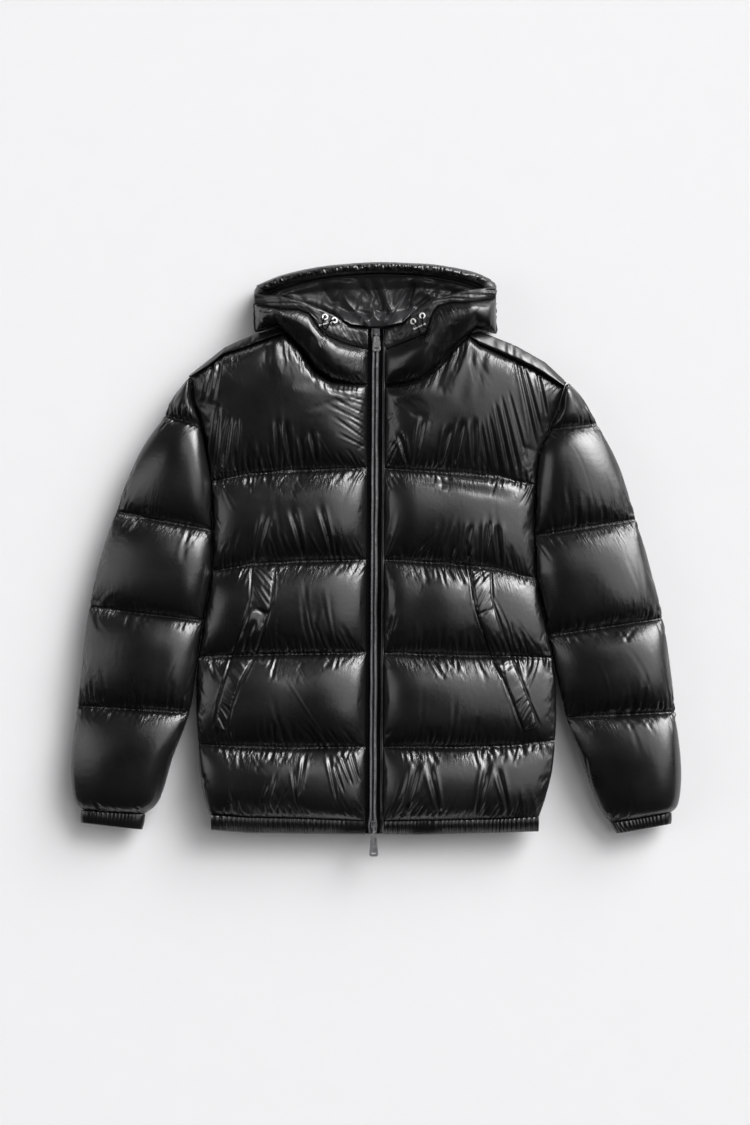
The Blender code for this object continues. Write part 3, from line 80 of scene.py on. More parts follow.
# %% [markdown]
# Black glossy cloth shows almost nothing of its own colour: what the eye reads is the shape of the
# lights in it. A large soft box stands low at the upper right, with a brighter core, so every
# baffle is bright on the flank that faces it. A wide glow over it softens the edges of that light,
# and a weak box at the left draws the far flanks. The ceiling is dark, so the crowns stay black.

# %% Lights
SOFT_BOXES = (  # name, bearing from +X and height over the floor in degrees, size in metres, watts
    ("key", 47, 28, (46.0, 40.0), 38500),
    ("key core", 49, 26, (20.0, 20.0), 9000),
    ("glow", 32, 50, (68.0, 64.0), 16500),
    ("fill left", 173, 25, (28.0, 54.0), 5600),
)
LIGHT_DISTANCE = 60.0


def soft_box(name, bearing, height, size, watts):
    light = bpy.data.lights.new(name, "AREA")
    light.shape = "RECTANGLE"
    light.size, light.size_y = size
    light.energy = watts
    bearing, height = math.radians(bearing), math.radians(height)
    level = LIGHT_DISTANCE * math.cos(height)
    place = Vector((level * math.cos(bearing), level * math.sin(bearing), LIGHT_DISTANCE * math.sin(height)))
    lamp = bpy.data.objects.new(name, light)
    lamp.location = place
    lamp.visible_camera = False
    lamp.rotation_euler = (-place).to_track_quat("-Z", "Y").to_euler()
    bpy.context.scene.collection.objects.link(lamp)


for box in SOFT_BOXES:
    soft_box(*box)
studio = bpy.data.worlds.new("studio")
bpy.context.scene.world = studio
studio.use_nodes = True
sky = studio.node_tree.nodes["Background"]
sky.inputs["Color"].default_value = (0.87, 0.87, 0.88, 1.0)
sky.inputs["Strength"].default_value = 0.17
studio.cycles_visibility.glossy = False  # a dark ceiling, for the black between the highlights
bpy.context.scene.view_settings.view_transform = "Standard"

# %% [markdown]
# Every finish is built from nodes. Colours are written as sRGB hex values, as a picker shows them,
# and one function turns them to the linear values that the shader wants. One small function adds a
# node with its settings and links, and each of the others adds one kind of node and gives its output.

# %% Material helpers


def from_hex(code):
    channels = [int(code[n : n + 2], 16) / 255 for n in (1, 3, 5)]
    return (*[c / 12.92 if c <= 0.04045 else ((c + 0.055) / 1.055) ** 2.4 for c in channels], 1.0)


def per_metre(millimetres):
    """Scale of a texture whose pattern repeats at this real size."""
    return 1 / (millimetres * MM)


def add_node(tree, kind, inputs=(), **settings):
    """Adds a node: inputs are (socket, value or another node's output)."""
    node = tree.nodes.new(kind)
    for key, value in settings.items():
        setattr(node, key, value)
    for socket, value in inputs:
        if isinstance(value, bpy.types.NodeSocket):
            tree.links.new(value, node.inputs[socket])
        else:
            node.inputs[socket].default_value = value
    return node


def noise(tree, place, scale, detail, distortion=0.0):
    inputs = [("Vector", place), ("Scale", scale), ("Detail", detail), ("Distortion", distortion)]
    return add_node(tree, "ShaderNodeTexNoise", inputs).outputs["Fac"]


def blend(tree, share, dark, light):
    inputs = [("Factor", share), ("A", from_hex(dark)), ("B", from_hex(light))]
    return add_node(tree, "ShaderNodeMix", inputs, data_type="RGBA").outputs["Result"]


def spread(tree, value, low, high, to_low, to_high):
    sockets = ("Value", "From Min", "From Max", "To Min", "To Max")
    inputs = list(zip(sockets, (value, low, high, to_low, to_high)))
    return add_node(tree, "ShaderNodeMapRange", inputs).outputs["Result"]


def combine(tree, operation, first, second):
    return add_node(tree, "ShaderNodeMath", [(0, first), (1, second)], operation=operation).outputs["Value"]


def bump(tree, height, strength, millimetres, on=None):
    """A surface raised by up to so many millimetres, on top of another bump or on the bare shape."""
    inputs = [("Height", height), ("Strength", strength), ("Distance", millimetres * MM)]
    if on is not None:
        inputs.append(("Normal", on))
    return add_node(tree, "ShaderNodeBump", inputs).outputs["Normal"]


def weave(tree, place, spacing, operation):
    """Ripples along X crossed with ripples along Y, their crests 2 pi spacings apart."""
    inputs = [("Vector", place), ("Scale", per_metre(spacing) / 20)]
    ripples = [add_node(tree, "ShaderNodeTexWave", inputs, bands_direction=axis) for axis in "XY"]
    return combine(tree, operation, *[node.outputs["Fac"] for node in ripples])


def new_finish(name):
    """A new material, its tree, its shader, and the object coordinates to lay patterns by."""
    finish = bpy.data.materials.new(name)
    finish.use_nodes = True
    tree = finish.node_tree
    return finish, tree, tree.nodes["Principled BSDF"], add_node(tree, "ShaderNodeTexCoord").outputs["Object"]


def wire(tree, shader, **outputs):
    """Links outputs to the shader's sockets, or writes constants on them: Base_Color is Base Color."""
    for socket, value in outputs.items():
        socket = shader.inputs[socket.replace("_", " ")]
        if isinstance(value, bpy.types.NodeSocket):
            tree.links.new(value, socket)
        else:
            socket.default_value = value


print("dark nylon in linear light:", [round(c, 4) for c in from_hex("#121213")])

# %% [markdown]
# The shell is a tightly woven nylon taffeta, calendered and coated until it shines like wet ink.
# The eye sees a near-black ground and sharp-edged reflections that small wrinkles break up. The
# real weave, 0.2 mm, can't be seen, so only a coarse and very faint one is drawn. Each panel's
# cloth_place says how far across and down the cloth a point lies and how near a seam it is, and the
# cloth puckers there.

# %% Glossy nylon


def nylon(name, dark, light, roughness, wrinkle):
    finish, tree, shader, place = new_finish(name)
    cloudy = noise(tree, place, per_metre(60), 3.0)
    crumple = bump(tree, noise(tree, place, per_metre(7), 4.0), wrinkle, 0.7)
    cloth_place = add_node(tree, "ShaderNodeAttribute", attribute_name="cloth_place").outputs["Vector"]
    stretch = [("Vector", cloth_place), ("Scale", (1 / 3.6, 1 / 18, 0.0))]
    pucker = noise(tree, add_node(tree, "ShaderNodeMapping", stretch).outputs["Vector"], 1.0, 3.0, 0.8)
    near_seam = add_node(tree, "ShaderNodeSeparateXYZ", [("Vector", cloth_place)]).outputs["Z"]
    puckered = bump(tree, combine(tree, "MULTIPLY", pucker, near_seam), 1.0, 3.0, crumple)
    wire(
        tree, shader, Base_Color=blend(tree, cloudy, dark, light), Specular_IOR_Level=1.0,
        Roughness=spread(tree, cloudy, 0.3, 0.7, roughness * 0.85, roughness * 1.2),
        Normal=bump(tree, weave(tree, place, 0.9, "MULTIPLY"), 0.15, 0.02, puckered),
    )
    return finish


# The body and sleeves: wet-looking black with sharp reflections.
shell = nylon("glossy nylon taffeta", "#121213", "#171718", 0.3, 0.2)
# The hood and its bands, creased all over by hand: the creases scatter the light, and the lighter grey of
# this copy of the shell is painted sheen.
creased_shell_painted_sheen = nylon("glossy nylon taffeta, creased by hand", "#212122", "#2a2a2b", 0.42, 0.8)
# Pulled tight over the piping beside the zip; its pale grey colour is a painted highlight that draws two pale
# lines.
piping_painted_highlight = nylon("glossy nylon taffeta, stretched over piping", "#4c4c4e", "#5c5c5e", 0.36, 0.5)
# Inside the hood: softer than the shell, with wide, dim sheens and no sharp reflection; its own dark grey is
# lightened with painted sheen.
lining = nylon("satin lining", "#29292b", "#343436", 0.44, 0.2)
print("finishes:", [m.name for m in (shell, creased_shell_painted_sheen, piping_painted_highlight, lining)])

# %% [markdown]
# The trim has its own finishes: matt woven zip tape, gunmetal plating on the teeth and sliders, a
# lighter brushed zinc on the pulls, nickel on the eyelets and cord spindles, and a braided cord.

# %% Trim finishes


def plating(name, colour, worn, roughness, metal=1.0):
    """Metal plating: faint scuffs change its tint and how sharply it mirrors."""
    finish, tree, shader, place = new_finish(name)
    scuffs = noise(tree, place, per_metre(2.5), 5.0)
    wire(
        tree, shader, Base_Color=blend(tree, scuffs, colour, worn), Metallic=metal,
        Roughness=spread(tree, scuffs, 0.35, 0.65, roughness * 0.7, roughness * 1.5),
    )
    return finish


def woven(name, colour, spacing, roughness):
    """Matt woven or braided yarn, its threads on the slant."""
    finish, tree, shader, place = new_finish(name)
    slant = [("Vector", place), ("Rotation", (0, 0, math.radians(45)))]
    yarn = weave(tree, add_node(tree, "ShaderNodeMapping", slant).outputs["Vector"], spacing, "ADD")
    wire(
        tree, shader, Base_Color=blend(tree, yarn, colour, "#0c0c0d"), Roughness=roughness,
        Specular_IOR_Level=0.05, Normal=bump(tree, yarn, 0.5, 0.15),
    )
    return finish


# Black tape, painted darker still as the shade in the zip's slot: the blackest and mattest surface, so the
# zip reads as a dark slot.
tape = woven("polyester zip tape", "#030303", 0.8, 0.9)
# A dull black cord that stands out from the glossy cloth by having no highlight.
braid = woven("braided polyester cord", "#101011", 0.7, 0.7)
# Sewing thread: small dull dashes in the seams.
thread = woven("polyester sewing thread", "#0b0b0c", 0.4, 0.7)
# Teeth and sliders: a dark grey metal.
gunmetal = plating("gunmetal plated zinc", "#77777a", "#8e8e90", 0.4)
# The pulls: a paler, softly brushed metal.
pull_metal = plating("brushed zinc pull", "#b4b4b6", "#d0d0d2", 0.42, 0.85)
# Eyelets and spindles: nearly white and only partly metal, so their whiteness is partly painted glint; the
# brightest points of the jacket.
nickel = plating("nickel plated brass", "#f4f3f0", "#fdfcfa", 0.45, 0.35)

# The floor: matt paper that is nearly white and takes the soft shadow.
paper, paper_tree, paper_shader, paper_place = new_finish("pale studio paper")
paper_tone = blend(paper_tree, noise(paper_tree, paper_place, per_metre(48), 2.0), "#f2f2f3", "#f4f4f5")
wire(paper_tree, paper_shader, Base_Color=paper_tone, Roughness=0.9, Specular_IOR_Level=0.1)
floor.data.materials.append(paper)
print("trim:", [m.name for m in (tape, braid, thread, gunmetal, pull_metal, nickel)])

# %% [markdown]
# The pattern of the jacket is kept in short tables, in millimetres, as a pattern cutter keeps the
# lines of each panel. They say where the sides, the quilt seams, the neck, the sleeves and the hood
# run in plan, and how full each baffle is. A table for both sides has the wearer's right under -1
# and the left under 1.

# %% Pattern tables


def table(title, columns, rows):
    """A table with named columns."""
    row = namedtuple(title, columns)
    return tuple(row(*values) for values in rows)


LAYER_Z, LAYER_GAP = 34.0, 0.4  # where the front layer lies on the back layer
SEAM_LOFT, EDGE_LOFT = 8.0, 3.0  # how thick a panel is on its seams and on its side edge
GROOVE, NOTCH = 12.0, 2.0  # how far a seam draws the cloth in, from below and at the side
SEAM_GAP = 0.3
ZIP_TOP_Y, ZIP_BOTTOM_Y, ZIP_TOP_X, ZIP_BOTTOM_X = 323.0, -383.0, 0.6, -3.6
ZIP_CHANNEL = 12.2  # from the zip's middle line to the panels

SIDES = table("SidePoint", "y right_x left_x", (
    (256, -260.7, 268.5), (222, -256.4, 257.4), (188, -243.6, 243.9), (150, -236.8, 228.4),
    (112, -231.3, 223.6), (42, -228.5, 220.9), (-20, -230.6, 223.0), (-84, -241.1, 236.3),
    (-137, -249.5, 246.1), (-166, -252.3, 251.7), (-220, -252.6, 253.1), (-258, -250.9, 252.0),
    (-298, -247.6, 246.8), (-337, -241.1, 237.0), (-358, -235.5, 230.4), (-381, -231.3, 230.0),
))
QUILTS = table("Quilt", "name right_side_y right_mid_y left_side_y left_mid_y zip_y crown", (
    ("chest", 110.6, 125.3, 105.0, 121.8, 128.8, 40), ("waist", -15.4, -2.1, -28.0, -5.6, 0.5, 42),
    ("pocket", -137.2, -131.5, -137.2, -134.0, -130.2, 42),
    ("low", -258.3, -263.2, -254.8, -262.5, -261.8, 37),
    ("hem", -357.0, -361.5, -359.8, -364.0, -365.4, 0),
))
YOKE_CROWN = 37
NECK = {
    -1: (
        (-260.7, 256.2), (-235.5, 270.5), (-214.5, 287.5), (-185.1, 296.5), (-128.9, 317.5),
        (-106.5, 294.4), (-86.7, 265.5), (-61.8, 249.5), (-37.0, 246.2), (-12.1, 245.7),
    ),
    1: (
        (263.9, 242.0), (220.9, 268.1), (185.9, 284.2), (145.0, 302.0), (129.9, 314.5), (107.4, 294.6),
        (87.4, 270.5), (62.3, 252.5), (37.3, 245.2), (12.3, 243.6),
    ),
}
SHOULDER = {
    -1: (
        (-263.5, 258.5), (-236.9, 279.3), (-213.1, 298.2), (-192.1, 308.0), (-169.7, 317.0),
        (-136.1, 326.0), (-128.9, 319.3),
    ),
    1: (
        (267.0, 249.5), (237.7, 277.0), (197.1, 300.0), (146.7, 320.6), (141.0, 320.9), (129.9, 316.2),
    ),
}
BACK_NECK = ((-126.6, 322.0), (-60.0, 318.0), (0.0, 316.5), (60.0, 317.0), (128.0, 318.6))
CHIN = {
    -1: (
        (-171.1, 359.1), (-133.3, 351.0), (-109.5, 350.0), (-94.1, 344.4), (-80.1, 324.8), (-73.1, 316.4),
        (-50.7, 305.9), (-11.8, 295.0),
    ),
    1: (
        (168.3, 367.6), (122.9, 359.5), (104.7, 359.8), (86.0, 354.5), (79.0, 345.0), (74.5, 328.0),
        (66.9, 314.5), (50.1, 309.4), (12.6, 295.4),
    ),
}
CHIN_LOW = {
    -1: (
        (-168.3, 322.5), (-150.0, 328.0), (-138.0, 330.0), (-127.6, 319.6), (-105.2, 296.4),
        (-85.7, 267.6), (-61.2, 251.2), (-36.8, 247.6), (-12.1, 247.2),
    ),
    1: (
        (168.3, 319.5), (152.3, 324.0), (139.0, 326.5), (128.6, 316.4), (106.1, 296.5), (86.5, 272.4),
        (61.8, 254.2), (37.0, 246.8), (12.3, 245.2),
    ),
}
BAND = {
    -1: (
        (-171.2, 374.0), (-158.0, 372.5), (-140.0, 371.0), (-104.3, 361.8), (-80.1, 352.0),
        (-54.9, 340.0), (-35.6, 329.0), (-11.6, 326.2),
    ),
    1: (
        (166.8, 384.0), (153.0, 382.0), (129.0, 378.0), (99.0, 370.0), (78.0, 362.9), (59.0, 352.0),
        (48.2, 342.3), (36.0, 331.0), (12.8, 326.2),
    ),
}
SLEEVE = {
    -1: table("Sleeve", "along outer_x outer_y inner_x inner_y mid_z crown", (
        (0.0, -266.5, 253.0, -258.0, 256.0, 33, 28), (0.5, -285.9, 226.8, -254.0, 219.0, 33, 26),
        (1.0, -298.5, 203.0, -243.0, 187.0, 33, 30), (1.5, -334.9, 145.6, -234.1, 126.0, 33, 36),
        (2.0, -367.1, 67.2, -228.5, 42.0, 33, 38), (2.5, -388.1, 0.0, -231.3, -23.8, 33, 38),
        (3.0, -403.5, -65.8, -241.1, -85.4, 33, 38), (3.5, -412.9, -133.0, -251.5, -147.0, 32, 38),
        (4.0, -421.0, -204.4, -262.1, -214.2, 31, 38), (4.5, -428.6, -282.8, -284.5, -275.8, 29, 37),
        (4.8, -425.2, -334.0, -304.8, -336.8, 26, 33), (5.0, -413.7, -351.6, -326.4, -357.0, 24, 28),
    )),
    1: table("Sleeve", "along outer_x outer_y inner_x inner_y mid_z crown", (
        (0.0, 271.5, 248.5, 263.0, 245.5, 33, 28), (0.5, 290.5, 226.0, 257.0, 212.0, 33, 26),
        (1.0, 311.9, 190.4, 243.3, 182.0, 33, 30), (1.5, 341.3, 131.6, 225.8, 131.6, 33, 36),
        (2.0, 366.5, 57.4, 221.0, 33.6, 33, 38), (2.5, 387.5, -18.2, 225.1, -39.2, 33, 38),
        (3.0, 403.6, -81.2, 241.9, -106.4, 33, 38), (3.5, 412.3, -140.0, 253.0, -162.4, 32, 38),
        (4.0, 421.8, -212.8, 267.1, -221.2, 31, 38), (4.5, 428.6, -292.0, 288.1, -284.0, 29, 37),
        (4.8, 425.3, -341.0, 313.3, -347.4, 26, 33), (5.0, 414.5, -354.8, 330.7, -369.6, 24, 28),
    )),
}
CUFF = {
    -1: table("Cuff", "along outer_x outer_y inner_x inner_y mid_z", (
        (0.0, -415.4, -351.9, -325.1, -357.5, 24), (0.5, -416.4, -361.0, -326.3, -369.0, 22),
        (1.0, -416.1, -369.6, -329.3, -379.4, 20),
    )),
    1: table("Cuff", "along outer_x outer_y inner_x inner_y mid_z", (
        (0.0, 415.5, -355.1, 330.1, -370.2, 24), (0.5, 416.2, -363.6, 333.6, -378.0, 22),
        (1.0, 415.5, -371.0, 338.5, -385.0, 20),
    )),
}
WELT = {
    -1: table("Welt", "side_x side_y zip_x zip_y", (
        (-173.9, -7.0, -141.7, -16.8), (-175.3, -54.6, -145.9, -63.0), (-190.7, -103.6, -158.5, -103.6),
        (-201.9, -133.0, -168.3, -131.6), (-213.1, -172.2, -189.3, -172.2),
        (-221.5, -201.6, -200.5, -203.0), (-225.7, -229.6, -210.3, -238.8),
    )),
    1: table("Welt", "side_x side_y zip_x zip_y", (
        (160.7, -14.0, 131.3, -15.4), (162.3, -57.0, 138.0, -66.2), (177.1, -100.8, 150.9, -103.6),
        (190.1, -134.4, 160.7, -134.4), (201.9, -163.8, 177.5, -166.6), (213.8, -196.0, 189.3, -196.0),
        (228.3, -231.8, 205.3, -239.2),
    )),
}
HOOD = table("HoodStation", "outer_x outer_y inner_x inner_y rim_z", (
    (-136.0, 329.5, -116.0, 339.0, 34), (-168.8, 321.5, -150.0, 334.0, 34),
    (-172.5, 345.0, -156.0, 348.0, 34), (-171.8, 366.0, -155.0, 361.0, 34),
    (-168.7, 385.0, -152.0, 373.0, 34), (-133.0, 398.5, -126.0, 383.0, 48),
    (-84.3, 408.8, -81.0, 394.0, 58), (-42.0, 413.4, -41.0, 399.0, 61), (1.0, 415.8, 1.0, 401.0, 62),
    (42.0, 414.8, 41.0, 400.0, 61), (84.0, 412.4, 81.0, 397.0, 58), (135.0, 403.6, 127.0, 388.0, 48),
    (167.0, 390.6, 151.0, 377.0, 34), (169.1, 368.0, 153.0, 363.0, 34), (169.1, 343.0, 153.0, 348.0, 34),
    (168.6, 319.5, 148.0, 333.0, 34), (141.0, 325.5, 118.0, 337.0, 34), (60.0, 321.5, 60.0, 332.0, 34),
    (0.0, 319.8, 0.0, 330.5, 34), (-60.0, 322.0, -60.0, 333.0, 34),
))
CORNER_RIGHT, CORNER_LEFT = 4, 12  # the two ends of the face opening's arc, in that table
HOOD_FLOOR = 22.0
HEM_LOW = {
    -1: ((-231.3, -379.4), (-176.7, -383.6), (-15.9, -385.6)),
    1: ((8.5, -385.0), (60.0, -386.2), (230.0, -381.2)),
}
HEM_TOP_Y, HEM_LOFT, HEM_DROOP, HEM_INSET = -358.0, 9.0, 0.35, 2.0
print("quilt seams:", [q.name for q in QUILTS])

# %% [markdown]
# The same few shapes describe all the padding. A baffle is nearly flat on top and falls steeply to
# its seams, and an edge falls away in a quarter round.

# %% Shapes of padding


def roll(share):
    """A quarter round: 0 at the edge, 1 from a share of 1 on."""
    return np.sqrt(np.clip(1 - (1 - np.clip(share, 0, 1)) ** 2, 0, 1))


def loft(t):
    """How full a baffle is, from 0 at one seam through 1 to 0 at the next."""
    return np.clip(1 - np.abs(2 * np.asarray(t, float) - 1) ** 2.3, 0, 1) ** 0.6


def smoothstep(low, high, value):
    share = np.clip((np.asarray(value, float) - low) / (high - low), 0, 1)
    return share * share * (3 - 2 * share)


def bell(away):
    return np.exp(-(away**2))


def arch(share):
    """A half wave: 0 at both ends and 1 in the middle."""
    return math.sin(math.pi * share)


def unit(vectors):
    return vectors / np.linalg.norm(vectors, axis=-1, keepdims=True)


def on_line(points, x):
    ordered = sorted(points)
    return np.interp(x, [p[0] for p in ordered], [p[1] for p in ordered])


def side_x(side, y):
    ordered = sorted(SIDES)
    values = [p.right_x if side < 0 else p.left_x for p in ordered]
    return np.interp(y, [p.y for p in ordered], values)


def side_notch(y, t):
    """How far a quilt seam draws in the lower part of the side."""
    return NOTCH * smoothstep(-150, -190, y) * (1 - loft(t))


def zip_x(y):
    return ZIP_BOTTOM_X + (y - ZIP_BOTTOM_Y) / (ZIP_TOP_Y - ZIP_BOTTOM_Y) * (ZIP_TOP_X - ZIP_BOTTOM_X)


def through(values, places, place):
    """A smooth curve through the values at their places, read at any places (Catmull-Rom)."""
    values, places, place = np.asarray(values, float), np.asarray(places, float), np.asarray(place, float)
    index = np.clip(np.searchsorted(places, place, side="right") - 1, 0, len(places) - 2)
    t = (place - places[index]) / (places[index + 1] - places[index])
    start, end = values[index], values[index + 1]
    slope_in = (end - values[np.maximum(index - 1, 0)]) / 2
    slope_out = (values[np.minimum(index + 2, len(values) - 1)] - start) / 2
    return (
        (2 * t**3 - 3 * t**2 + 1) * start + (t**3 - 2 * t**2 + t) * slope_in
        + (3 * t**2 - 2 * t**3) * end + (t**3 - t**2) * slope_out
    )


def read_table(rows, column, place):
    return through([getattr(row, column) for row in rows], [row.along for row in rows], place)


def read_edge(rows, edge, place):
    """The plan position of a sleeve's or cuff's outer or inner edge."""
    return np.array([read_table(rows, edge + "_x", place), read_table(rows, edge + "_y", place)])


def between(above, below, share, t):
    """Plan position between two lines that run from the side to the zip."""
    top = above[0][0] + share * (above[-1][0] - above[0][0])
    bottom = below[0][0] + share * (below[-1][0] - below[0][0])
    return top + t * (bottom - top), (1 - t) * on_line(above, top) + t * on_line(below, bottom)


def apart(above, below, share):
    """How far apart two such lines are along Y."""
    return np.abs(between(above, below, share, 0.0)[1] - between(above, below, share, 1.0)[1])


def at_height(x, y, z):
    """Points from rows of x and y and one height or a row of them."""
    return np.stack([x, y, np.broadcast_to(z, np.shape(x))], axis=1)


def wander(places, step, rng):
    """A seeded random line, about -1 to 1, that changes over this step."""
    knots = np.arange(np.min(places) - 2 * step, np.max(places) + 3 * step, step)
    return through(np.clip(rng.normal(0, 0.6, len(knots)), -1.3, 1.3), knots, places)


def on_lattice(knots, u, v):
    """A table of knots, one to each unit of u and v, read smoothly along v and then along u."""
    i, j = u.astype(int), v.astype(int)
    a, b = u - i, v - j
    a, b = a * a * (3 - 2 * a), b * b * (3 - 2 * b)
    return ((1 - a) * (1 - b) * knots[i, j] + a * (1 - b) * knots[i + 1, j]
            + (1 - a) * b * knots[i, j + 1] + a * b * knots[i + 1, j + 1])


def lattice(u, v, rng):
    """Smooth seeded noise, about -1 to 1, one knot to each unit of u and v."""
    u, v = u - np.min(u) + 1, v - np.min(v) + 1
    return on_lattice(rng.uniform(-1, 1, (int(np.max(u)) + 3, int(np.max(v)) + 3)), u, v)


def folds(u, v, long, short, rng):
    """Crisp ridges between soft hollows: long along u and short along v, in millimetres."""
    total = 0.0
    for part, share in ((1.0, 0.62), (0.5, 0.38)):
        total = total + share * (1 - 2.4 * np.abs(lattice(u / (long * part), v / (short * part), rng)))
    return total


print("a baffle a tenth of the way across is", round(float(loft(0.1)), 2), "full")

# %% [markdown]
# A panel is a grid of points. Its upper face is closed against a plain lower face, so it stays a
# solid pad. The grids are big, so the faces are worked out as whole arrays.

# %% Meshes from grids


def grid_faces(rows, columns, first=0, wrap=False):
    row, column = np.meshgrid(np.arange(rows - 1), np.arange(columns if wrap else columns - 1), indexing="ij")
    beside = (column + 1) % columns
    corners = [row * columns + column, (row + 1) * columns + column,
               (row + 1) * columns + beside, row * columns + beside]
    return (np.stack(corners, axis=-1).reshape(-1, 4) + first).tolist()


def zip_chains(first, second):
    """Triangles between two chains of points that start and end side by side."""
    faces, i, j = [], 0, 0
    while i < len(first) - 1 or j < len(second) - 1:
        ahead = (i + 1) / (len(first) - 1) if i < len(first) - 1 else 2.0
        behind = (j + 1) / (len(second) - 1) if j < len(second) - 1 else 2.0
        if ahead <= behind:
            faces.append((first[i], first[i + 1], second[j]))
            i += 1
        else:
            faces.append((first[i], second[j + 1], second[j]))
            j += 1
    return faces


def end_fans(rings, around, hubs):
    """Triangles that close the first and the last of these rings on two hub points."""
    ends = zip((0, (rings - 1) * around), hubs)
    return [(first + c, first + (c + 1) % around, hub) for first, hub in ends for c in range(around)]


def mesh_object(name, points, faces, finish, cloth=None):
    """An object at the origin, from points in millimetres, smooth, its faces turned outwards."""
    mesh = bpy.data.meshes.new(name)
    mesh.from_pydata((np.asarray(points, float) * MM).tolist(), [], faces)
    shape = bmesh.new()
    shape.from_mesh(mesh)
    bmesh.ops.recalc_face_normals(shape, faces=shape.faces)
    shape.to_mesh(mesh)
    shape.free()
    mesh.materials.append(finish)
    mesh.shade_smooth()
    if cloth is not None:
        where = np.zeros((len(points), 3), np.float32)
        where[: cloth.size // 3] = cloth.reshape(-1, 3)
        attribute = mesh.attributes.new("cloth_place", "FLOAT_VECTOR", "POINT")
        attribute.data.foreach_set("vector", where.reshape(-1))
    piece = bpy.data.objects.new(name, mesh)
    bpy.context.scene.collection.objects.link(piece)
    return piece


def pad(name, upper, lower, finish, cloth=None):
    """A closed pad between an upper and a lower grid with the same number of rows."""
    upper, lower = np.asarray(upper, float), np.asarray(lower, float)
    rows, across, below = upper.shape[0], upper.shape[1], lower.shape[1]
    base = rows * across
    faces = grid_faces(rows, across)
    faces += [face[::-1] for face in grid_faces(rows, below, base)]
    for r in range(rows - 1):
        faces.append((r * across, base + r * below, base + (r + 1) * below, (r + 1) * across))
        a, b = (r + 1) * across - 1, base + (r + 1) * below - 1
        faces.append((a, a + across, b + below, b))
    for r in (0, rows - 1):
        over, under = [r * across + c for c in range(across)], [base + r * below + c for c in range(below)]
        chains = zip_chains(over, under)
        faces += chains if r == 0 else [(a, c, b) for a, b, c in chains]
    points = np.concatenate([upper.reshape(-1, 3), lower.reshape(-1, 3)])
    return mesh_object(name, points, faces, finish, cloth)


def tube(name, outer, inner, finish, cloth=None):
    """A tube with a hollow right through: rings of outer points, and as many rings of inner points."""
    outer, inner = np.asarray(outer, float), np.asarray(inner, float)
    count, around, within = outer.shape[0], outer.shape[1], inner.shape[1]
    base = count * around
    faces = grid_faces(count, around, 0, True)
    faces += [face[::-1] for face in grid_faces(count, within, base, True)]
    for r in (0, count - 1):
        ring_out = [r * around + c for c in range(around)] + [r * around]
        ring_in = [base + r * within + c for c in range(within)] + [base + r * within]
        faces += zip_chains(ring_out, ring_in)
    points = np.concatenate([outer.reshape(-1, 3), inner.reshape(-1, 3)])
    return mesh_object(name, points, faces, finish, cloth)


def finish_piece(piece, node=None):
    """What every padded piece needs: its body, and the solid that it stands for hidden from view."""
    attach(piece, "jacket")
    if node:
        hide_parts(node)
    print(f"{piece.name}: {len(piece.data.vertices)} points for {node or 'itself'}")
    return piece


print("mesh helpers ready")

# %% [markdown]
# A quilted panel is made as the real one is: a flat panel is pinned along its seams and blown up
# by its filling. Each panel is a grid pinned along the seams. Blender's Cloth inflates it, and a
# little spare cloth beside each seam makes it pucker. All panels are prepared first, so that one
# run of the clock settles them all.

# %% Cloth helpers
ACROSS, ALONG = 2.4, 4.4  # spacing of the grids that are simulated, millimetres
FRAMES = 20
FARTHEST = 12.0  # how far a point may move
SPARE_REACH = 38.0  # how far from a seam there is spare cloth
SEEDED, PRESSED = 0.4, 0.8  # how deep the creases are before and after the cloth settles
SLEEVE_TOP, SLEEVE_UNDER = 53, 27  # points over and under a sleeve, edge to edge

Crease = namedtuple("Crease", "first last from_top place long wide lean bend depth")
Stroke = namedtuple("Stroke", "x0 y0 x1 y1 wide depth")  # a crease by its place in plan


def fold_profile(off):
    """A crease in section: a sharp trough between two soft shoulders."""
    return bell(off) - 0.42 * bell((np.abs(off) - 1.75) / 0.85)


class Sheet:
    """A grid of cloth: where it starts, what is pinned, its creases, and which way it faces."""

    def __init__(self, name, rows, pinned, t, height, wrap=False):
        self.name, self.start, self.pinned, self.wrap = name, np.array(rows), np.array(pinned), wrap
        self.t, self.height = np.array(t), np.array(height)
        self.u = along_rows(self.start)
        facing = normals(self.start, wrap)
        middle = SLEEVE_TOP // 2 if wrap else facing.shape[1] // 2
        self.outward = 1.0 if facing[len(facing) // 2, middle, 2] > 0 else -1.0
        self.seams = [n for n, share in enumerate(t) if share == 0.0] + [len(t) - 1]
        self.creases, self.strokes = [], []

    def wrinkle(self, grid, u, height, scale, strength):
        """The grid with its creases, pressed in along its own normals."""
        push = np.zeros(grid.shape[:2])
        for crease in self.creases:
            rows = slice(scale * crease.first, scale * crease.last + 1)
            t = np.linspace(0, 1, scale * (crease.last - crease.first) + 1)[:, None]
            away = (t if crease.from_top else 1 - t) * height[rows]
            share = away / crease.long
            middle = crease.place + crease.lean * away + crease.bend * away * share
            off = (u[rows] - middle) / (crease.wide * (0.55 + 1.1 * share))
            shape = smoothstep(0.0, 0.12, share) * np.clip(1 - share, 0, 1) ** 0.9
            push[rows] += crease.depth * shape * fold_profile(off)
        for stroke in self.strokes:
            run = np.array([stroke.x1 - stroke.x0, stroke.y1 - stroke.y0], float)
            along = ((grid[..., 0] - stroke.x0) * run[0] + (grid[..., 1] - stroke.y0) * run[1]) / (run @ run)
            off = (grid[..., 0] - stroke.x0) * run[1] - (grid[..., 1] - stroke.y0) * run[0]
            off = off / np.linalg.norm(run) / (stroke.wide * (0.7 + 0.6 * np.clip(along, 0, 1)))
            ends = smoothstep(-0.12, 0.2, along) * smoothstep(1.12, 0.7, along)
            push += stroke.depth * ends * fold_profile(off)
        return grid + normals(grid, self.wrap) * (strength * self.outward * push)[..., None]


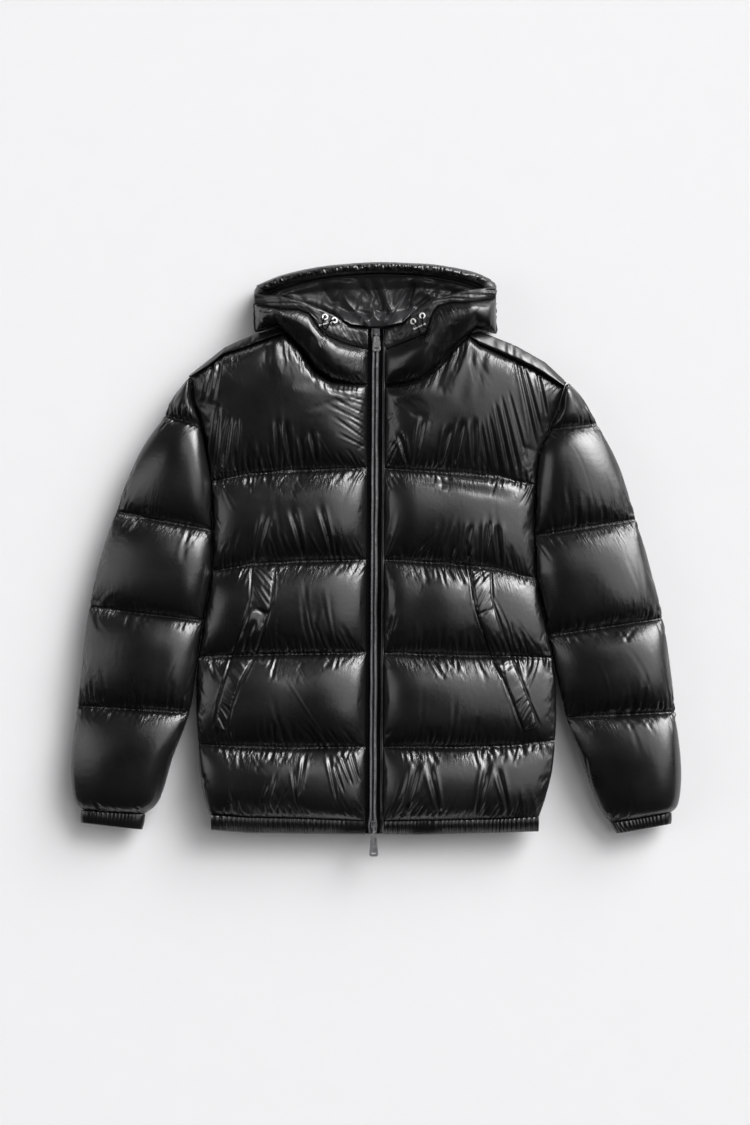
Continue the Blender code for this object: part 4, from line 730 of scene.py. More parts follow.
def along_rows(grid):
    """How far along its row each point lies, in millimetres of cloth."""
    step = np.linalg.norm(np.diff(grid, axis=1, append=grid[:, :1]), axis=2)
    return np.concatenate([np.zeros((len(grid), 1)), np.cumsum(step, axis=1)[:, :-1]], axis=1)


def refine_rows(grid):
    """Twice as many rows, on a smooth curve through the old ones."""
    padded = np.concatenate([2 * grid[:1] - grid[1:2], grid, 2 * grid[-1:] - grid[-2:-1]])
    middle = (9 * (padded[1:-2] + padded[2:-1]) - padded[:-3] - padded[3:]) / 16
    out = np.empty((2 * len(grid) - 1, *grid.shape[1:]))
    out[0::2], out[1::2] = grid, middle
    return out


def refine_columns(grid, wrap=False):
    if not wrap:
        return np.swapaxes(refine_rows(np.swapaxes(grid, 0, 1)), 0, 1)
    middle = (9 * (grid + np.roll(grid, -1, 1)) - np.roll(grid, 1, 1) - np.roll(grid, -2, 1)) / 16
    out = np.empty((grid.shape[0], 2 * grid.shape[1], *grid.shape[2:]))
    out[:, 0::2], out[:, 1::2] = grid, middle
    return out


def normals(grid, wrap=False):
    down = np.gradient(grid, axis=0)
    if wrap:
        right = np.roll(grid, -1, 1) - np.roll(grid, 1, 1)
    else:
        right = np.gradient(grid, axis=1)
    normal = np.cross(down, right)
    normal /= np.linalg.norm(normal, axis=2)[..., None] + 1e-9
    return normal


def start_cloth(sheet):
    """The sheet as an object with a Cloth on it, ready to be inflated."""
    rows, columns = sheet.start.shape[:2]
    seeded = sheet.wrinkle(sheet.start, sheet.u, sheet.height, 1, SEEDED)
    seeded = np.where((sheet.pinned > 0.5)[..., None], sheet.start, seeded)
    mesh = bpy.data.meshes.new(sheet.name + "_cloth")
    faces = grid_faces(rows, columns, 0, sheet.wrap)
    if sheet.outward < 0:
        faces = [face[::-1] for face in faces]
    mesh.from_pydata((seeded.reshape(-1, 3) * MM).tolist(), [], faces)
    piece = bpy.data.objects.new(sheet.name + "_cloth", mesh)
    bpy.context.scene.collection.objects.link(piece)
    near = np.clip(1 - np.minimum(sheet.t, 1 - sheet.t)[:, None] * sheet.height / SPARE_REACH, 0, 1)
    for title, weights in (("held", sheet.pinned), ("spare", near)):
        group = piece.vertex_groups.new(name=title)
        for index, weight in enumerate(weights.reshape(-1)):
            if weight > 0:
                group.add([index], float(weight), "REPLACE")
    cloth = piece.modifiers.new("cloth", "CLOTH")
    values = cloth.settings
    values.quality, values.mass, values.air_damping = 6, 0.1, 3
    values.tension_stiffness = values.compression_stiffness = 20
    values.shear_stiffness, values.bending_stiffness = 8, 0.02
    values.tension_damping = values.compression_damping = values.shear_damping = 5
    values.bending_damping = 0.5
    values.use_pressure, values.uniform_pressure_force = True, 3.0
    values.vertex_group_mass, values.vertex_group_shrink = "held", "spare"
    values.shrink_min, values.shrink_max = -0.004, -0.09
    values.effector_weights.gravity = 0
    cloth.collision_settings.use_collision = False
    cloth.point_cache.frame_start, cloth.point_cache.frame_end = 1, FRAMES
    return piece


def settle(sheets):
    """Runs the clock once for all the sheets, and returns where their points end, in millimetres."""
    pieces = [start_cloth(sheet) for sheet in sheets]
    for number in range(1, FRAMES + 1):
        bpy.context.scene.frame_set(number)
    settled = {}
    graph = bpy.context.evaluated_depsgraph_get()
    for sheet, piece in zip(sheets, pieces):
        shape = bpy.data.meshes.new_from_object(piece.evaluated_get(graph))
        found = np.zeros(len(shape.vertices) * 3, np.float32)
        shape.vertices.foreach_get("co", found)
        move = found.reshape(sheet.start.shape).astype(float) / MM - sheet.start
        far = np.linalg.norm(move, axis=2, keepdims=True)
        settled[sheet.name] = sheet.start + move * np.minimum(1, FARTHEST / np.maximum(far, 1e-6))
        print(f"{sheet.name}: moved {far.max():.1f} mm at most")
        bpy.data.objects.remove(piece, do_unlink=True)
        bpy.data.meshes.remove(shape)
    bpy.context.scene.frame_set(1)
    return settled


print("cloth spacing:", ACROSS, "by", ALONG, "mm")

# %% [markdown]
# The two fronts are four quilt seams and five baffles each, from the neck down. The side edge rolls
# down to the sleeve and the zip edge rolls down to the zip. The left front slopes up from its side
# to the zip as well, its top baffle most.

# %% Front panels
FRONT_WIDTH = 240.0
SIDE_ROLL, ZIP_ROLL = {-1: 0.5, 1: 0.8}, {-1: 0.3, 1: 0.22}  # shares of the width that roll down
LEFT_SLOPES = (0.55, 0.3, 0.3, 0.3, 0.3)


def front_lines(side):
    """The lines that bound the baffles of a front, each with the crown of the baffle under it."""
    lines = [(NECK[side], YOKE_CROWN)]
    for quilt in QUILTS:
        side_y = quilt.right_side_y if side < 0 else quilt.left_side_y
        mid_y = quilt.right_mid_y if side < 0 else quilt.left_mid_y
        start, end = side_x(side, side_y), zip_x(quilt.zip_y) + side * ZIP_CHANNEL
        bow = ((0, 0), (0.25, 0.7), (0.55, 1))
        shape = [(share, side_y + level * (mid_y - side_y)) for share, level in bow]
        shape.append((1.0, quilt.zip_y))
        lines.append((tuple((start + share * (end - start), y) for share, y in shape), quilt.crown))
    return lines


def front_sheet(side):
    rng = np.random.default_rng(12 + side)
    lines = front_lines(side)
    share = np.linspace(0, 1, round(FRONT_WIDTH / ACROSS) + 1)
    points, pinned, ts, heights = [], [], [], []
    at_zip = roll((1 - share) / ZIP_ROLL[side]) ** 0.8
    for n in range(len(lines) - 1):
        (above, crown), below = lines[n], lines[n + 1][0]
        count = round(abs(above[len(above) // 2][1] - below[len(below) // 2][1]) / ALONG)
        full_crown = 0.86 * crown * (1 + 0.09 * wander(share * FRONT_WIDTH, 48, rng))
        at_side = roll(share / SIDE_ROLL[side])
        if side > 0:
            at_side = (1 - LEFT_SLOPES[n]) * at_side + LEFT_SLOPES[n] * share
        base = EDGE_LOFT + (SEAM_LOFT - EDGE_LOFT) * at_side
        for k in range(count + (n == len(lines) - 2)):
            t = k / count
            x, y = between(above, below, share, t)
            edge_y = (1 - t) * above[0][1] + t * below[0][1]
            outline = side_x(side, edge_y) - side * side_notch(edge_y, t)
            x = x + (1 - share) * (outline - (1 - t) * above[0][0] - t * below[0][0])
            full = loft(t) if n or t > 0.5 else roll(t / 0.16)  # the neck edge is rounder than a seam
            height = base + (full_crown - base) * at_side * at_zip * full
            points.append(at_height(x, y, LAYER_Z + LAYER_GAP + height))
            pinned.append(np.full(len(share), 1.0 if k == 0 or t == 1 else 0.0))
            ts.append(t)
            heights.append(apart(above, below, share))
    pinned = np.array(pinned)
    pinned[:, 0] = pinned[:, -1] = 1.0
    return Sheet("front_" + SIDE_NAMES[side], points, pinned, ts, heights)


fronts = {side: front_sheet(side) for side in SIDE_NAMES}
print("front grids:", [sheet.start.shape[:2] for sheet in fronts.values()])

# %% [markdown]
# A sleeve is a tube that lies flat: it rests on the surface underneath and is full on top. Only
# the middle of its underside is held, so its sides swell too.

# %% Sleeves
# How far each seam's crown leans towards the body, from the shoulder to the cuff.
SLEEVE_LEAN = {-1: (0.1, 0.3, 0.4, 0.45, 0.4, 0.3), 1: (0.2, 0.4, 0.3, 0.0, -0.25, -0.3)}
ARMPIT_Y = -175  # above it a sleeve lies right beside the body


def round_section(over, under):
    """Places from -1 to 1 across a flat tube's top, and back along its underside."""
    return (
        np.sin(np.linspace(-0.5, 0.5, over) * math.pi), np.sin(np.linspace(0.5, -0.5, under) * math.pi)[1:-1]
    )


def sleeve_sheet(side):
    rows = SLEEVE[side]
    top, under = round_section(SLEEVE_TOP, SLEEVE_UNDER)
    share = (np.concatenate([top, under]) + 1) / 2
    held = np.concatenate([np.zeros(len(top)), (np.abs(under) < 0.66) * 1.0])
    points, pinned, ts, heights = [], [], [], []
    for n in range(5):
        start, end = [Vector(read_edge(rows, "outer", place)) for place in (n, n + 1)]
        tall = (end - start).length
        count = max(6, round(tall / ALONG))
        for k in range(count + (n == 4)):
            t = k / count
            along = n + t
            outer, inner = read_edge(rows, "outer", along), read_edge(rows, "inner", along)
            outer = outer + unit(inner - outer) * NOTCH * (1 - loft(t))
            limit = side_x(side, inner[1]) + side * 1.1
            if inner[1] > ARMPIT_Y and side * (limit - inner[0]) > 0:
                inner[0] = limit
            level, crown = read_table(rows, "mid_z", along), read_table(rows, "crown", along)
            full = SEAM_LOFT + (0.88 * crown - SEAM_LOFT) * loft(t)
            lean = np.interp(along, range(6), SLEEVE_LEAN[side])
            up = full * (1 - np.abs(top - lean * (1 - top**2)) ** 2.4) ** 0.5
            bottom = GROOVE * (1 - roll(min(t, 1 - t) / 0.2))
            down = (level - bottom) * roll((1 - np.abs(under)) / 0.38)
            plan = outer + share[:, None] * (inner - outer)
            points.append(np.column_stack([plan, level + np.concatenate([up, -down])]))
            pinned.append(np.ones(len(share)) if k == 0 or t == 1 else held)
            ts.append(t)
            heights.append(np.full(len(share), tall))
    return Sheet("sleeve_" + SIDE_NAMES[side], points, pinned, ts, heights, True)


sleeves = {side: sleeve_sheet(side) for side in SIDE_NAMES}
print("sleeve grids:", [sheet.start.shape[:2] for sheet in sleeves.values()])

# %% [markdown]
# The chin panels stand up from the neck to the drawcord band. Their inner face is lifted off the
# neck, as it is where the collar folds back on itself.

# %% Chin panels
CHIN_CROWN, CHIN_ROWS, CHIN_COLUMNS = 27.0, 20, 59
CHIN_ZIP_ROLL = {-1: (0.46, 1.1), 1: (0.3, 0.8)}  # the share that rolls down to the zip, and how sharply


def neck_level(share, t):
    lifted = smoothstep(0.08, 0.25, share) * (1 - smoothstep(0.62, 0.95, share))
    return LAYER_Z + LAYER_GAP + 15.0 * (1 - t) * lifted


def chin_sheet(side):
    upper_line, lower_line = CHIN[side], CHIN_LOW[side]
    share, ts = np.linspace(0, 1, CHIN_COLUMNS), np.linspace(0, 1, CHIN_ROWS)
    at_side = roll(share / 0.14)
    reach, power = CHIN_ZIP_ROLL[side]
    full = 0.88 * CHIN_CROWN * at_side * roll((1 - share) / reach) ** power
    base, points = EDGE_LOFT + (SEAM_LOFT - EDGE_LOFT) * at_side, []
    for t in ts:
        x, y = between(upper_line, lower_line, share, t)
        z = neck_level(share, t) + (base + full * loft(t))
        points.append(at_height(x, y - (1 - t) * 2 * SEAM_GAP, z))
    pinned = np.zeros((CHIN_ROWS, CHIN_COLUMNS))
    pinned[0] = pinned[-1] = pinned[:, 0] = pinned[:, -1] = 1.0
    heights = np.tile(apart(upper_line, lower_line, share), (CHIN_ROWS, 1))
    return Sheet("chin_" + SIDE_NAMES[side], points, pinned, ts, heights)


chins = {side: chin_sheet(side) for side in SIDE_NAMES}
sheets = [*fronts.values(), *sleeves.values(), *chins.values()]
print("chin grids:", [sheet.start.shape[:2] for sheet in chins.values()])

# %% [markdown]
# Where a machine seam holds the cloth, the spare width gathers in creases that run out from the
# thread. Above each seam they are long and soft, because the filling hangs away from it there.
# Below it they are short and dense, and all of them crowd together in places. They are planned
# first, so that the cloth starts to fold along them and the same creases can be pressed in crisply
# when it has settled. The longest folds, and those that lean their own way, are drawn as strokes.

# %% Plan the creases
Side = namedtuple("Side", "spacing long deep")  # creases on one side of a seam, long in millimetres
ABOVE, BELOW = Side(8.5, 50.0, 2.4), Side(7.5, 20.0, 2.1)
CHIN_ABOVE, CHIN_BELOW = Side(9.0, 22.0, 1.2), Side(8.0, 18.0, 1.0)
POCKET_GROOVE = (1.6, -1.0)  # width and depth of the cloth's dip along each edge of a welt


def plan_creases(sheet, rng, above, below):
    """Creases on both sides of each seam."""
    for first, last in zip(sheet.seams, sheet.seams[1:]):
        width = float(sheet.u[first : last + 1].max())
        tall = float(np.median(sheet.height[first : last + 1]))
        knots = np.arange(0, width + 40, 10)
        for from_top, kind in ((False, above), (True, below)):
            place = rng.uniform(0, kind.spacing)
            drift = wander(knots, 60, rng)
            crowd = np.clip(0.7 + 1.0 * wander(knots, 34, rng), 0.12, 1.4)
            while place < width:
                knot = int(place / 10)
                long = min(kind.long * (0.35 + rng.exponential(0.45)), 0.62 * tall)
                fan = 0.0 if sheet.wrap else 0.42 * (1 - 2 * place / width)
                lean = fan + 0.2 * drift[knot] + rng.normal(0, 0.12)
                depth = kind.deep * rng.uniform(0.45, 1.3) * (-1 if rng.random() < 0.75 else 0.7)
                depth *= crowd[knot] * (0.4 if from_top and first == 0 else 1.0)
                long *= 0.6 + 0.5 * crowd[knot]
                depth *= min(1.0, 26.0 / long)
                wide = rng.uniform(1.5, 2.9)
                bend = rng.normal(0, 0.08)
                sheet.creases.append(Crease(first, last, from_top, place, long, wide, lean, bend, depth))
                place += kind.spacing * rng.uniform(0.5, 1.5)


# Long folds by their place in plan: from x, y to x, y, width and depth.
STROKES = {
    -1: (
        (-144, 311, -137, 258, 8, 1.6), (-14, 236, -66, 243, 2.0, -0.4), (-14, 222, -70, 236, 2.2, -0.5),
        (-14, 214, -44, 226, 1.7, -0.4), (-14, 203, -58, 224, 1.9, -0.5), (-14, 190, -70, 218, 2.2, -0.6),
        (-14, 180, -44, 200, 1.7, -0.5), (-14, 168, -60, 200, 2.0, -0.6), (-14, 157, -52, 176, 1.8, -0.6),
        (-227, 284, -240, 222, 3.4, -2.2), (-216, 290, -229, 224, 3.0, -1.8),
        (-204, 198, -214, 134, 3.6, -2.4), (-220, 212, -231, 118, 4.0, -2.6),
        (-193, 196, -200, 132, 3.0, -2.0), (-119, 134, -127, 192, 3.4, -2.8),
        (-101, 133, -105, 170, 2.8, -2.4), (-82, 134, -91, 180, 3.0, -2.4),
        (-137, 136, -138, 196, 3.2, -2.2), (-170, -2, -152, 66, 3.6, -2.4),
        (-100, 4, -118, 70, 3.4, -2.4), (-60, 6, -78, 74, 3.0, -2.0), (-185, -130, -170, -80, 3.2, -2.0),
        (-108, -330, -100, -274, 2.2, -1.9), (-112, -338, -116, -296, 1.8, -1.5),
        (-56, -332, -66, -276, 2.2, -1.9), (-46, -322, -60, -284, 1.8, -1.6),
        (-34, -312, -50, -270, 2.0, -1.8), (-154, -352, -140, -300, 1.8, -1.3),
        (-166, -350, -152, -312, 1.7, -1.2), (-142, -356, -124, -318, 1.7, -1.2),
        (-24, -308, -36, -268, 2.0, -1.8),
    ),
    1: (
        (167, 216, 190, 116, 2.8, -2.0), (176, 224, 200, 122, 2.6, -1.8), (158, 200, 174, 122, 2.4, -1.5),
        (196, 290, 226, 150, 3.2, -1.9), (206, 274, 232, 172, 2.8, -1.7), (225, 270, 240, 194, 2.6, -1.6),
        (146, 190, 158, 124, 2.2, -1.2), (186, 232, 210, 140, 2.4, -1.4), (102, 284, 82, 238, 3.2, -1.2),
        (138, 296, 114, 222, 7.0, -1.0), (152, 292, 134, 236, 7.0, -1.0), (44, 134, 32, 178, 3.0, -2.4),
        (54, 136, 66, 200, 3.2, -2.4), (88, 132, 102, 186, 3.4, -2.6), (108, 130, 120, 194, 3.2, -2.4),
        (138, 128, 136, 196, 3.4, -2.4), (150, -6, 158, 60, 3.4, -2.4), (175, -10, 168, 54, 3.6, -2.4),
        (120, -4, 132, 52, 3.0, -2.0), (50, 121, 196, 100, 6.5, 2.6), (40, -356, 58, -284, 3.6, -2.6),
        (90, -358, 74, -288, 3.4, -2.4), (140, -356, 156, -286, 3.6, -2.6),
        (186, -354, 170, -292, 3.2, -2.2),
    ),
}
for side, sheet in fronts.items():
    sheet.strokes = [Stroke(*row) for row in STROKES[side]]
    for top, low in zip(WELT[side], WELT[side][1:]):
        sheet.strokes += [
            Stroke(top.side_x, top.side_y, low.side_x, low.side_y, *POCKET_GROOVE),
            Stroke(top.zip_x, top.zip_y, low.zip_x, low.zip_y, *POCKET_GROOVE),
        ]
for number, sheet in enumerate([*fronts.values(), *sleeves.values()]):
    plan_creases(sheet, np.random.default_rng(30 + number), ABOVE, BELOW)
for number, sheet in enumerate(chins.values()):
    plan_creases(sheet, np.random.default_rng(50 + number), CHIN_ABOVE, CHIN_BELOW)
print("creases:", sum(len(sheet.creases) for sheet in sheets))

# %% Settle the cloth
settled = settle(sheets)
print("settled:", list(settled))

# %% [markdown]
# Simulation gives the big dimples. The crisp short creases that run out from a machine seam are
# drawn after it: each starts a little away from the thread, widens, and fades out.

# %% Creases
FINE, CLOTH = {}, {}  # each sheet's finished surface, and its places along the cloth
SEAM_PRESS = 1.3  # how far the thread pulls a seam in


def creased(sheet):
    """The settled sheet at twice the resolution, with its creases pressed in crisply."""
    fine = refine_columns(refine_rows(settled[sheet.name]), sheet.wrap)
    u = refine_columns(refine_rows(sheet.u[..., None]), False)[..., 0]
    if sheet.wrap:
        u = np.concatenate([u, u[:, -1:] + 1.0], axis=1)
    tall = refine_columns(refine_rows(sheet.height[..., None]), sheet.wrap)[..., 0]
    fine = sheet.wrinkle(fine, u, tall, 2, PRESSED)
    for seam in sheet.seams[1:-1]:
        fine[2 * seam] -= normals(fine, sheet.wrap)[2 * seam] * sheet.outward * SEAM_PRESS
    FINE[sheet.name] = fine
    run = np.linalg.norm(np.diff(fine, axis=0), axis=2).mean(axis=1)
    v = np.broadcast_to(np.concatenate([[0.0], np.cumsum(run)])[:, None], fine.shape[:2])
    near, seeded = np.zeros(fine.shape[:2]), np.random.default_rng(len(sheet.creases))
    for first, last in zip(sheet.seams, sheet.seams[1:]):
        rows = slice(2 * first, 2 * last + 1)
        t = np.linspace(0, 1, 2 * (last - first) + 1)[:, None]
        crowd = np.clip(0.55 + 0.9 * lattice(u[rows] / 26, np.full_like(u[rows], 1.0), seeded), 0.1, 1.3)
        near[rows] = crowd[:, : fine.shape[1]] * np.exp(-np.minimum(t * 1.4, 1 - t) * tall[rows] / 15.0)
    CLOTH[sheet.name] = np.stack([u[:, : fine.shape[1]], v, near], axis=-1)
    return fine


# %% Build the fronts
PLAIN = np.array((0.0, 0.07, 0.15, 0.24, 0.34, 0.44, 0.53, 0.62, 0.7, 0.8, 0.9, 1.0))


def under_grid(upper, level):
    """A plain lower face: the upper grid's plan, thinned out, at these levels."""
    columns = np.round(PLAIN * (upper.shape[1] - 1)).astype(int)
    lower = upper[:, columns].copy()
    lower[..., 2] = np.broadcast_to(level, upper.shape[:2])[:, columns]
    return lower


def finish_sheet(sheet, shape, upper, lower):
    """The settled sheet closed into a pad or a tube. A sheet bears its node's name, such as front_left."""
    kind, side_name = sheet.name.split("_")
    return finish_piece(shape(f"{side_name}_{kind}", upper, lower, shell, CLOTH[sheet.name]), sheet.name)


panels = {}
for side, sheet in fronts.items():
    upper = creased(sheet)
    upper[..., 2] = np.maximum(upper[..., 2], LAYER_Z + LAYER_GAP + 1.0)
    panels[side] = finish_sheet(sheet, pad, upper, under_grid(upper, LAYER_Z + LAYER_GAP))

# %% Build the sleeves
HOLLOW = [(share, 1) for share in (-0.8, -0.4, 0.0, 0.4, 0.8)] + [(share, -1) for share in (0.4, 0.0, -0.4)]
HOLLOW_HALF = 1.5  # half the height of the slit inside a sleeve or a cuff
SLEEVE_EDGE = 2 * (SLEEVE_TOP - 1)  # the column of a finished sleeve that runs along its inner edge


def flat_hollow(outer, inner, level):
    """A ring of points round the slit between the upper and the lower cloth."""
    return [
        (*(outer + (share + 1) / 2 * (inner - outer)), level + up * HOLLOW_HALF * (1 - (share / 0.8) ** 2))
        for share, up in HOLLOW
    ]


for sheet in sleeves.values():
    outer = creased(sheet)
    outer[..., 2] = np.maximum(outer[..., 2], 0.0)
    hollow = [flat_hollow(ring[0, :2], ring[SLEEVE_EDGE, :2], float(ring[0, 2])) for ring in outer]
    finish_sheet(sheet, tube, outer, hollow)

# %% Build the chin panels
for sheet in chins.values():
    upper = creased(sheet)
    share = np.linspace(0, 1, upper.shape[1])
    level = np.array([neck_level(share, t) for t in np.linspace(0, 1, upper.shape[0])])
    finish_sheet(sheet, pad, upper, under_grid(upper, level))

# %% [markdown]
# The back panel shows at the sides and from below. It has the same seams as the fronts, its inner
# face is plain, and it is flat where it rests.

# %% Back
BACK_TOP = LAYER_Z - LAYER_GAP
BACK_ALONG = 5.0  # spacing of its rows
BACK_PLAIN = np.array((0.0, 0.12, 0.25, 0.42, 0.58, 0.75, 0.88, 1.0))


def back_lines():
    lines = [SHOULDER[-1][:-1] + BACK_NECK + tuple(reversed(SHOULDER[1][:-1]))]
    for quilt in QUILTS:
        lines.append((
            (side_x(-1, quilt.right_side_y), quilt.right_side_y),
            (-2.0, quilt.zip_y + 2.0),
            (side_x(1, quilt.left_side_y), quilt.left_side_y),
        ))
    return lines


def build_back():
    rng = np.random.default_rng(80)
    lines = back_lines()
    fine = (1 - np.cos(np.linspace(0, math.pi, 151))) / 2
    upper, lower = [], []
    for n in range(len(lines) - 1):
        above, below = lines[n], lines[n + 1]
        count = round(abs(above[0][1] - below[0][1]) / BACK_ALONG)
        for k in range(count + (n == len(lines) - 2)):
            t = k / count
            right_y, left_y = [(1 - t) * above[end][1] + t * below[end][1] for end in (0, -1)]
            right = side_x(-1, right_y) + side_notch(right_y, t)
            left = side_x(1, left_y) - side_notch(left_y, t)
            if n == 0 and k == 0:
                right, left = above[0][0], above[-1][0]
            for share in (BACK_PLAIN, fine):
                x, y = right + share * (left - right), between(above, below, share, t)[1]
                if share is BACK_PLAIN:
                    upper.append(at_height(x, y, BACK_TOP))
                    continue
                rolled, away = roll(np.minimum(share, 1 - share) / 0.1), min(t, 1 - t)
                z = (1 - rolled) * (BACK_TOP - EDGE_LOFT)
                z = z + rolled * GROOVE * (1 - roll(away / 0.2))
                z = z + rolled * 1.2 * np.abs(wander(x, 7, rng)) * bell((away - 0.1) / 0.08)
                lower.append(at_height(x, y, z))
    return pad("back_panel", upper, lower, shell)


finish_piece(build_back(), "back")

# %% [markdown]
# The shoulder strips are the narrow fronts of the yoke, turned over the shoulder.

# %% Shoulder strips


def build_strip(side):
    rng = np.random.default_rng(90 + (side > 0))
    start, end = NECK[side][0][0], NECK[side][-1][0]
    x = start + np.linspace(0, 0.53, 90) * (end - start)
    low, high = on_line(NECK[side], x) + 2 * SEAM_GAP, on_line(SHOULDER[side], x)
    ripple = wander(x, 5, rng)
    upper, lower = [], []
    for share in np.linspace(0, 1, 15):
        rise = (5.0 + 9.5 * float(roll(share / 0.2))) * (1 - 0.7 * share**1.4)
        rise = rise + 1.1 * ripple * arch(share) * (1 - 0.5 * share)
        y = low + share * (high - low)
        upper.append(at_height(x, y, LAYER_Z + LAYER_GAP + rise))
        lower.append(at_height(x, y, LAYER_Z + LAYER_GAP)[::8])
    return pad(SIDE_NAMES[side] + "_shoulder", upper, lower, shell)


for side, name in SIDE_NAMES.items():
    finish_piece(build_strip(side), "shoulder_" + name)

# %% [markdown]
# Elastic pulls the hem and the cuffs into small, uneven gathers that run across the band.

# %% Hem bands


def gathers(places, spacing, rng):
    """Uneven round ribs about a spacing apart with sharp valleys between them, from -1 to 1."""
    phase = places / spacing + 0.75 * wander(places, 3.5 * spacing, rng)
    ribs = 2 * np.abs(np.sin(math.pi * phase)) ** 0.8 - 1
    return ribs * np.clip(0.85 + 0.75 * wander(places, 4.5 * spacing, rng), 0.12, 1.6)


HEM_RIBS = 6.2  # spacing


def hem_level(y):
    return LAYER_Z + HEM_DROOP * np.minimum(0.0, y - HEM_TOP_Y)


def hem_loft(share):
    return HEM_LOFT * (0.72 + 0.45 * arch(min(1.0, 0.12 + 0.85 * share)))


def hem_end(side):
    return side_x(side, HEM_TOP_Y - HEM_LOFT) - side * HEM_INSET


def build_hem(side):
    rng = np.random.default_rng(95 + (side > 0))
    top, low = front_lines(side)[-1][0], HEM_LOW[side]
    start, end = hem_end(side), zip_x(ZIP_BOTTOM_Y) + side * ZIP_CHANNEL
    along = np.linspace(0, 1, 281)
    x0 = start + (end - start) * along
    ribs = gathers(x0, HEM_RIBS, rng)
    upper, lower = [], []
    for share in np.linspace(0, 1, 13):
        y = (1 - share) * (on_line(top, x0) - 2 * SEAM_GAP) + share * on_line(low, x0)
        x = x0 + (zip_x(y) + side * ZIP_CHANNEL - end) * along
        rise = hem_loft(share) + 1.5 * ribs * (0.55 + 0.45 * arch(share))
        upper.append(at_height(x, y, hem_level(y) + LAYER_GAP + rise))
        lower.append(at_height(x, y, hem_level(y) + LAYER_GAP)[::20])
    return pad(SIDE_NAMES[side] + "_hem", upper, lower, shell)


def build_hem_back():
    rng = np.random.default_rng(97)
    top, low = back_lines()[-1], HEM_LOW[-1] + HEM_LOW[1]
    x = hem_end(-1) + (hem_end(1) - hem_end(-1)) * np.linspace(0, 1, 481)
    ribs = gathers(x, HEM_RIBS, rng)
    upper, lower = [], []
    for share in np.linspace(0, 1, 9):
        y = (1 - share) * (on_line(top, x) - 2 * SEAM_GAP) + share * on_line(low, x)
        lower.append(at_height(x, y, hem_level(y) - LAYER_GAP - hem_loft(share) - 0.9 * ribs))
        upper.append(at_height(x, y, hem_level(y) - LAYER_GAP)[::20])
    return pad("back_hem", upper, lower, shell)


for side, name in SIDE_NAMES.items():
    finish_piece(build_hem(side), "hem_" + name)
finish_piece(build_hem_back(), "hem_back")

# %% Cuffs
CUFF_LOFT, CUFF_RIBS = 10.0, 5.8


def build_cuff(side):
    rng, rows = np.random.default_rng(101 + (side > 0)), CUFF[side]
    top, under = round_section(121, 61)
    around = np.concatenate([top, under])
    facing = np.concatenate([np.ones(len(top)), -np.ones(len(under))])
    ribs = gathers(around * 45, CUFF_RIBS, rng)
    outer_rings, inner_rings = [], []
    for along in np.linspace(0, 1, 11):
        outer, inner = read_edge(rows, "outer", along), read_edge(rows, "inner", along)
        level = float(read_table(rows, "mid_z", along))
        full = CUFF_LOFT * (0.85 + 0.2 * arch(along))
        out = full * (1 - np.abs(around) ** 4) ** 0.5 + 0.8 * ribs * (1 - np.abs(around) ** 8)
        plan = outer + (around[:, None] + 1) / 2 * (inner - outer)
        outer_rings.append(np.column_stack([plan, level + facing * out]))
        inner_rings.append(flat_hollow(outer, inner, level))
    return tube(SIDE_NAMES[side] + "_cuff", outer_rings, inner_rings, shell)


for side, name in SIDE_NAMES.items():
    finish_piece(build_cuff(side), "cuff_" + name)

# %% [markdown]
# The drawcord channel runs along each side of the face opening, a slim padded band. Its folds run
# lengthways at its outer end, and across it where it is gathered to the zip.

# %% Drawcord bands
EYELETS = ("eyelet_1", "eyelet_2", "eyelet_3", "eyelet_4")
SPINDLES = ("toggle_right", "toggle_left")
BAND_LOFT, BAND_LONG, BAND_WIDE = 11.5, 170.0, 18.0


def under_fittings(x, y, z):
    """Heights that dip to the underside of the eyelets and spindles, so that these lie on the cloth."""
    for name in EYELETS + SPINDLES:
        low, high = np.array(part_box(name)) / MM
        away = np.hypot(np.maximum(np.maximum(low[0] - x, x - high[0]), 0),
                        np.maximum(np.maximum(low[1] - y, y - high[1]), 0))
        near = bell(away / 4.5)
        z = (1 - near) * z + near * np.minimum(z, low[2] + 0.5)
    return z


def build_band(side):
    rng = np.random.default_rng(105 + (side > 0))
    share, ts = np.linspace(0, 1, 200), np.linspace(0, 1, 17)
    at_side, level = 0.5 + 0.5 * roll(share / 0.5), neck_level(share, 0.0)
    upper, lower = [], []
    for t in ts:
        x, y = between(BAND[side], CHIN[side], share, t)
        y = y + t * SEAM_GAP
        full = BAND_LOFT * at_side * (0.62 + 0.38 * float(roll(t / 0.3))) * (1 - 0.35 * max(t - 0.8, 0) / 0.2)
        upper.append(at_height(x, y, level + full))
        lower.append(at_height(x, y, level)[::6])
    upper = np.array(upper)
    t, share = np.meshgrid(ts, share, indexing="ij")
    over, along = t * BAND_WIDE, share * BAND_LONG
    lengthways = folds(along, over + share * 30, 70.0, 7.0, rng)
    crossways = 0.7 * folds(over, along + 12 * t, 14.0, 9.0, rng)
    crossways = crossways + 0.6 * folds(over + share * 60, along - 26 * t, 18.0, 7.0, rng)
    gathered = smoothstep(0.5, 0.75, share)
    inside = np.sin(math.pi * (0.1 + 0.8 * t)) ** 0.7
    upper[..., 2] += inside * ((1 - 0.6 * gathered) * 1.9 * lengthways + (0.4 + gathered) * 1.1 * crossways)
    upper[..., 2] = under_fittings(*np.moveaxis(upper, 2, 0))
    return pad(SIDE_NAMES[side] + "_band", upper, lower, creased_shell_painted_sheen)


for side, name in SIDE_NAMES.items():
    finish_piece(build_band(side), "band_" + name)

# %% [markdown]
# The hood lies on its back as a padded bowl. Its rim is a gathered elastic edge, and the lining
# hangs inside it in soft folds.

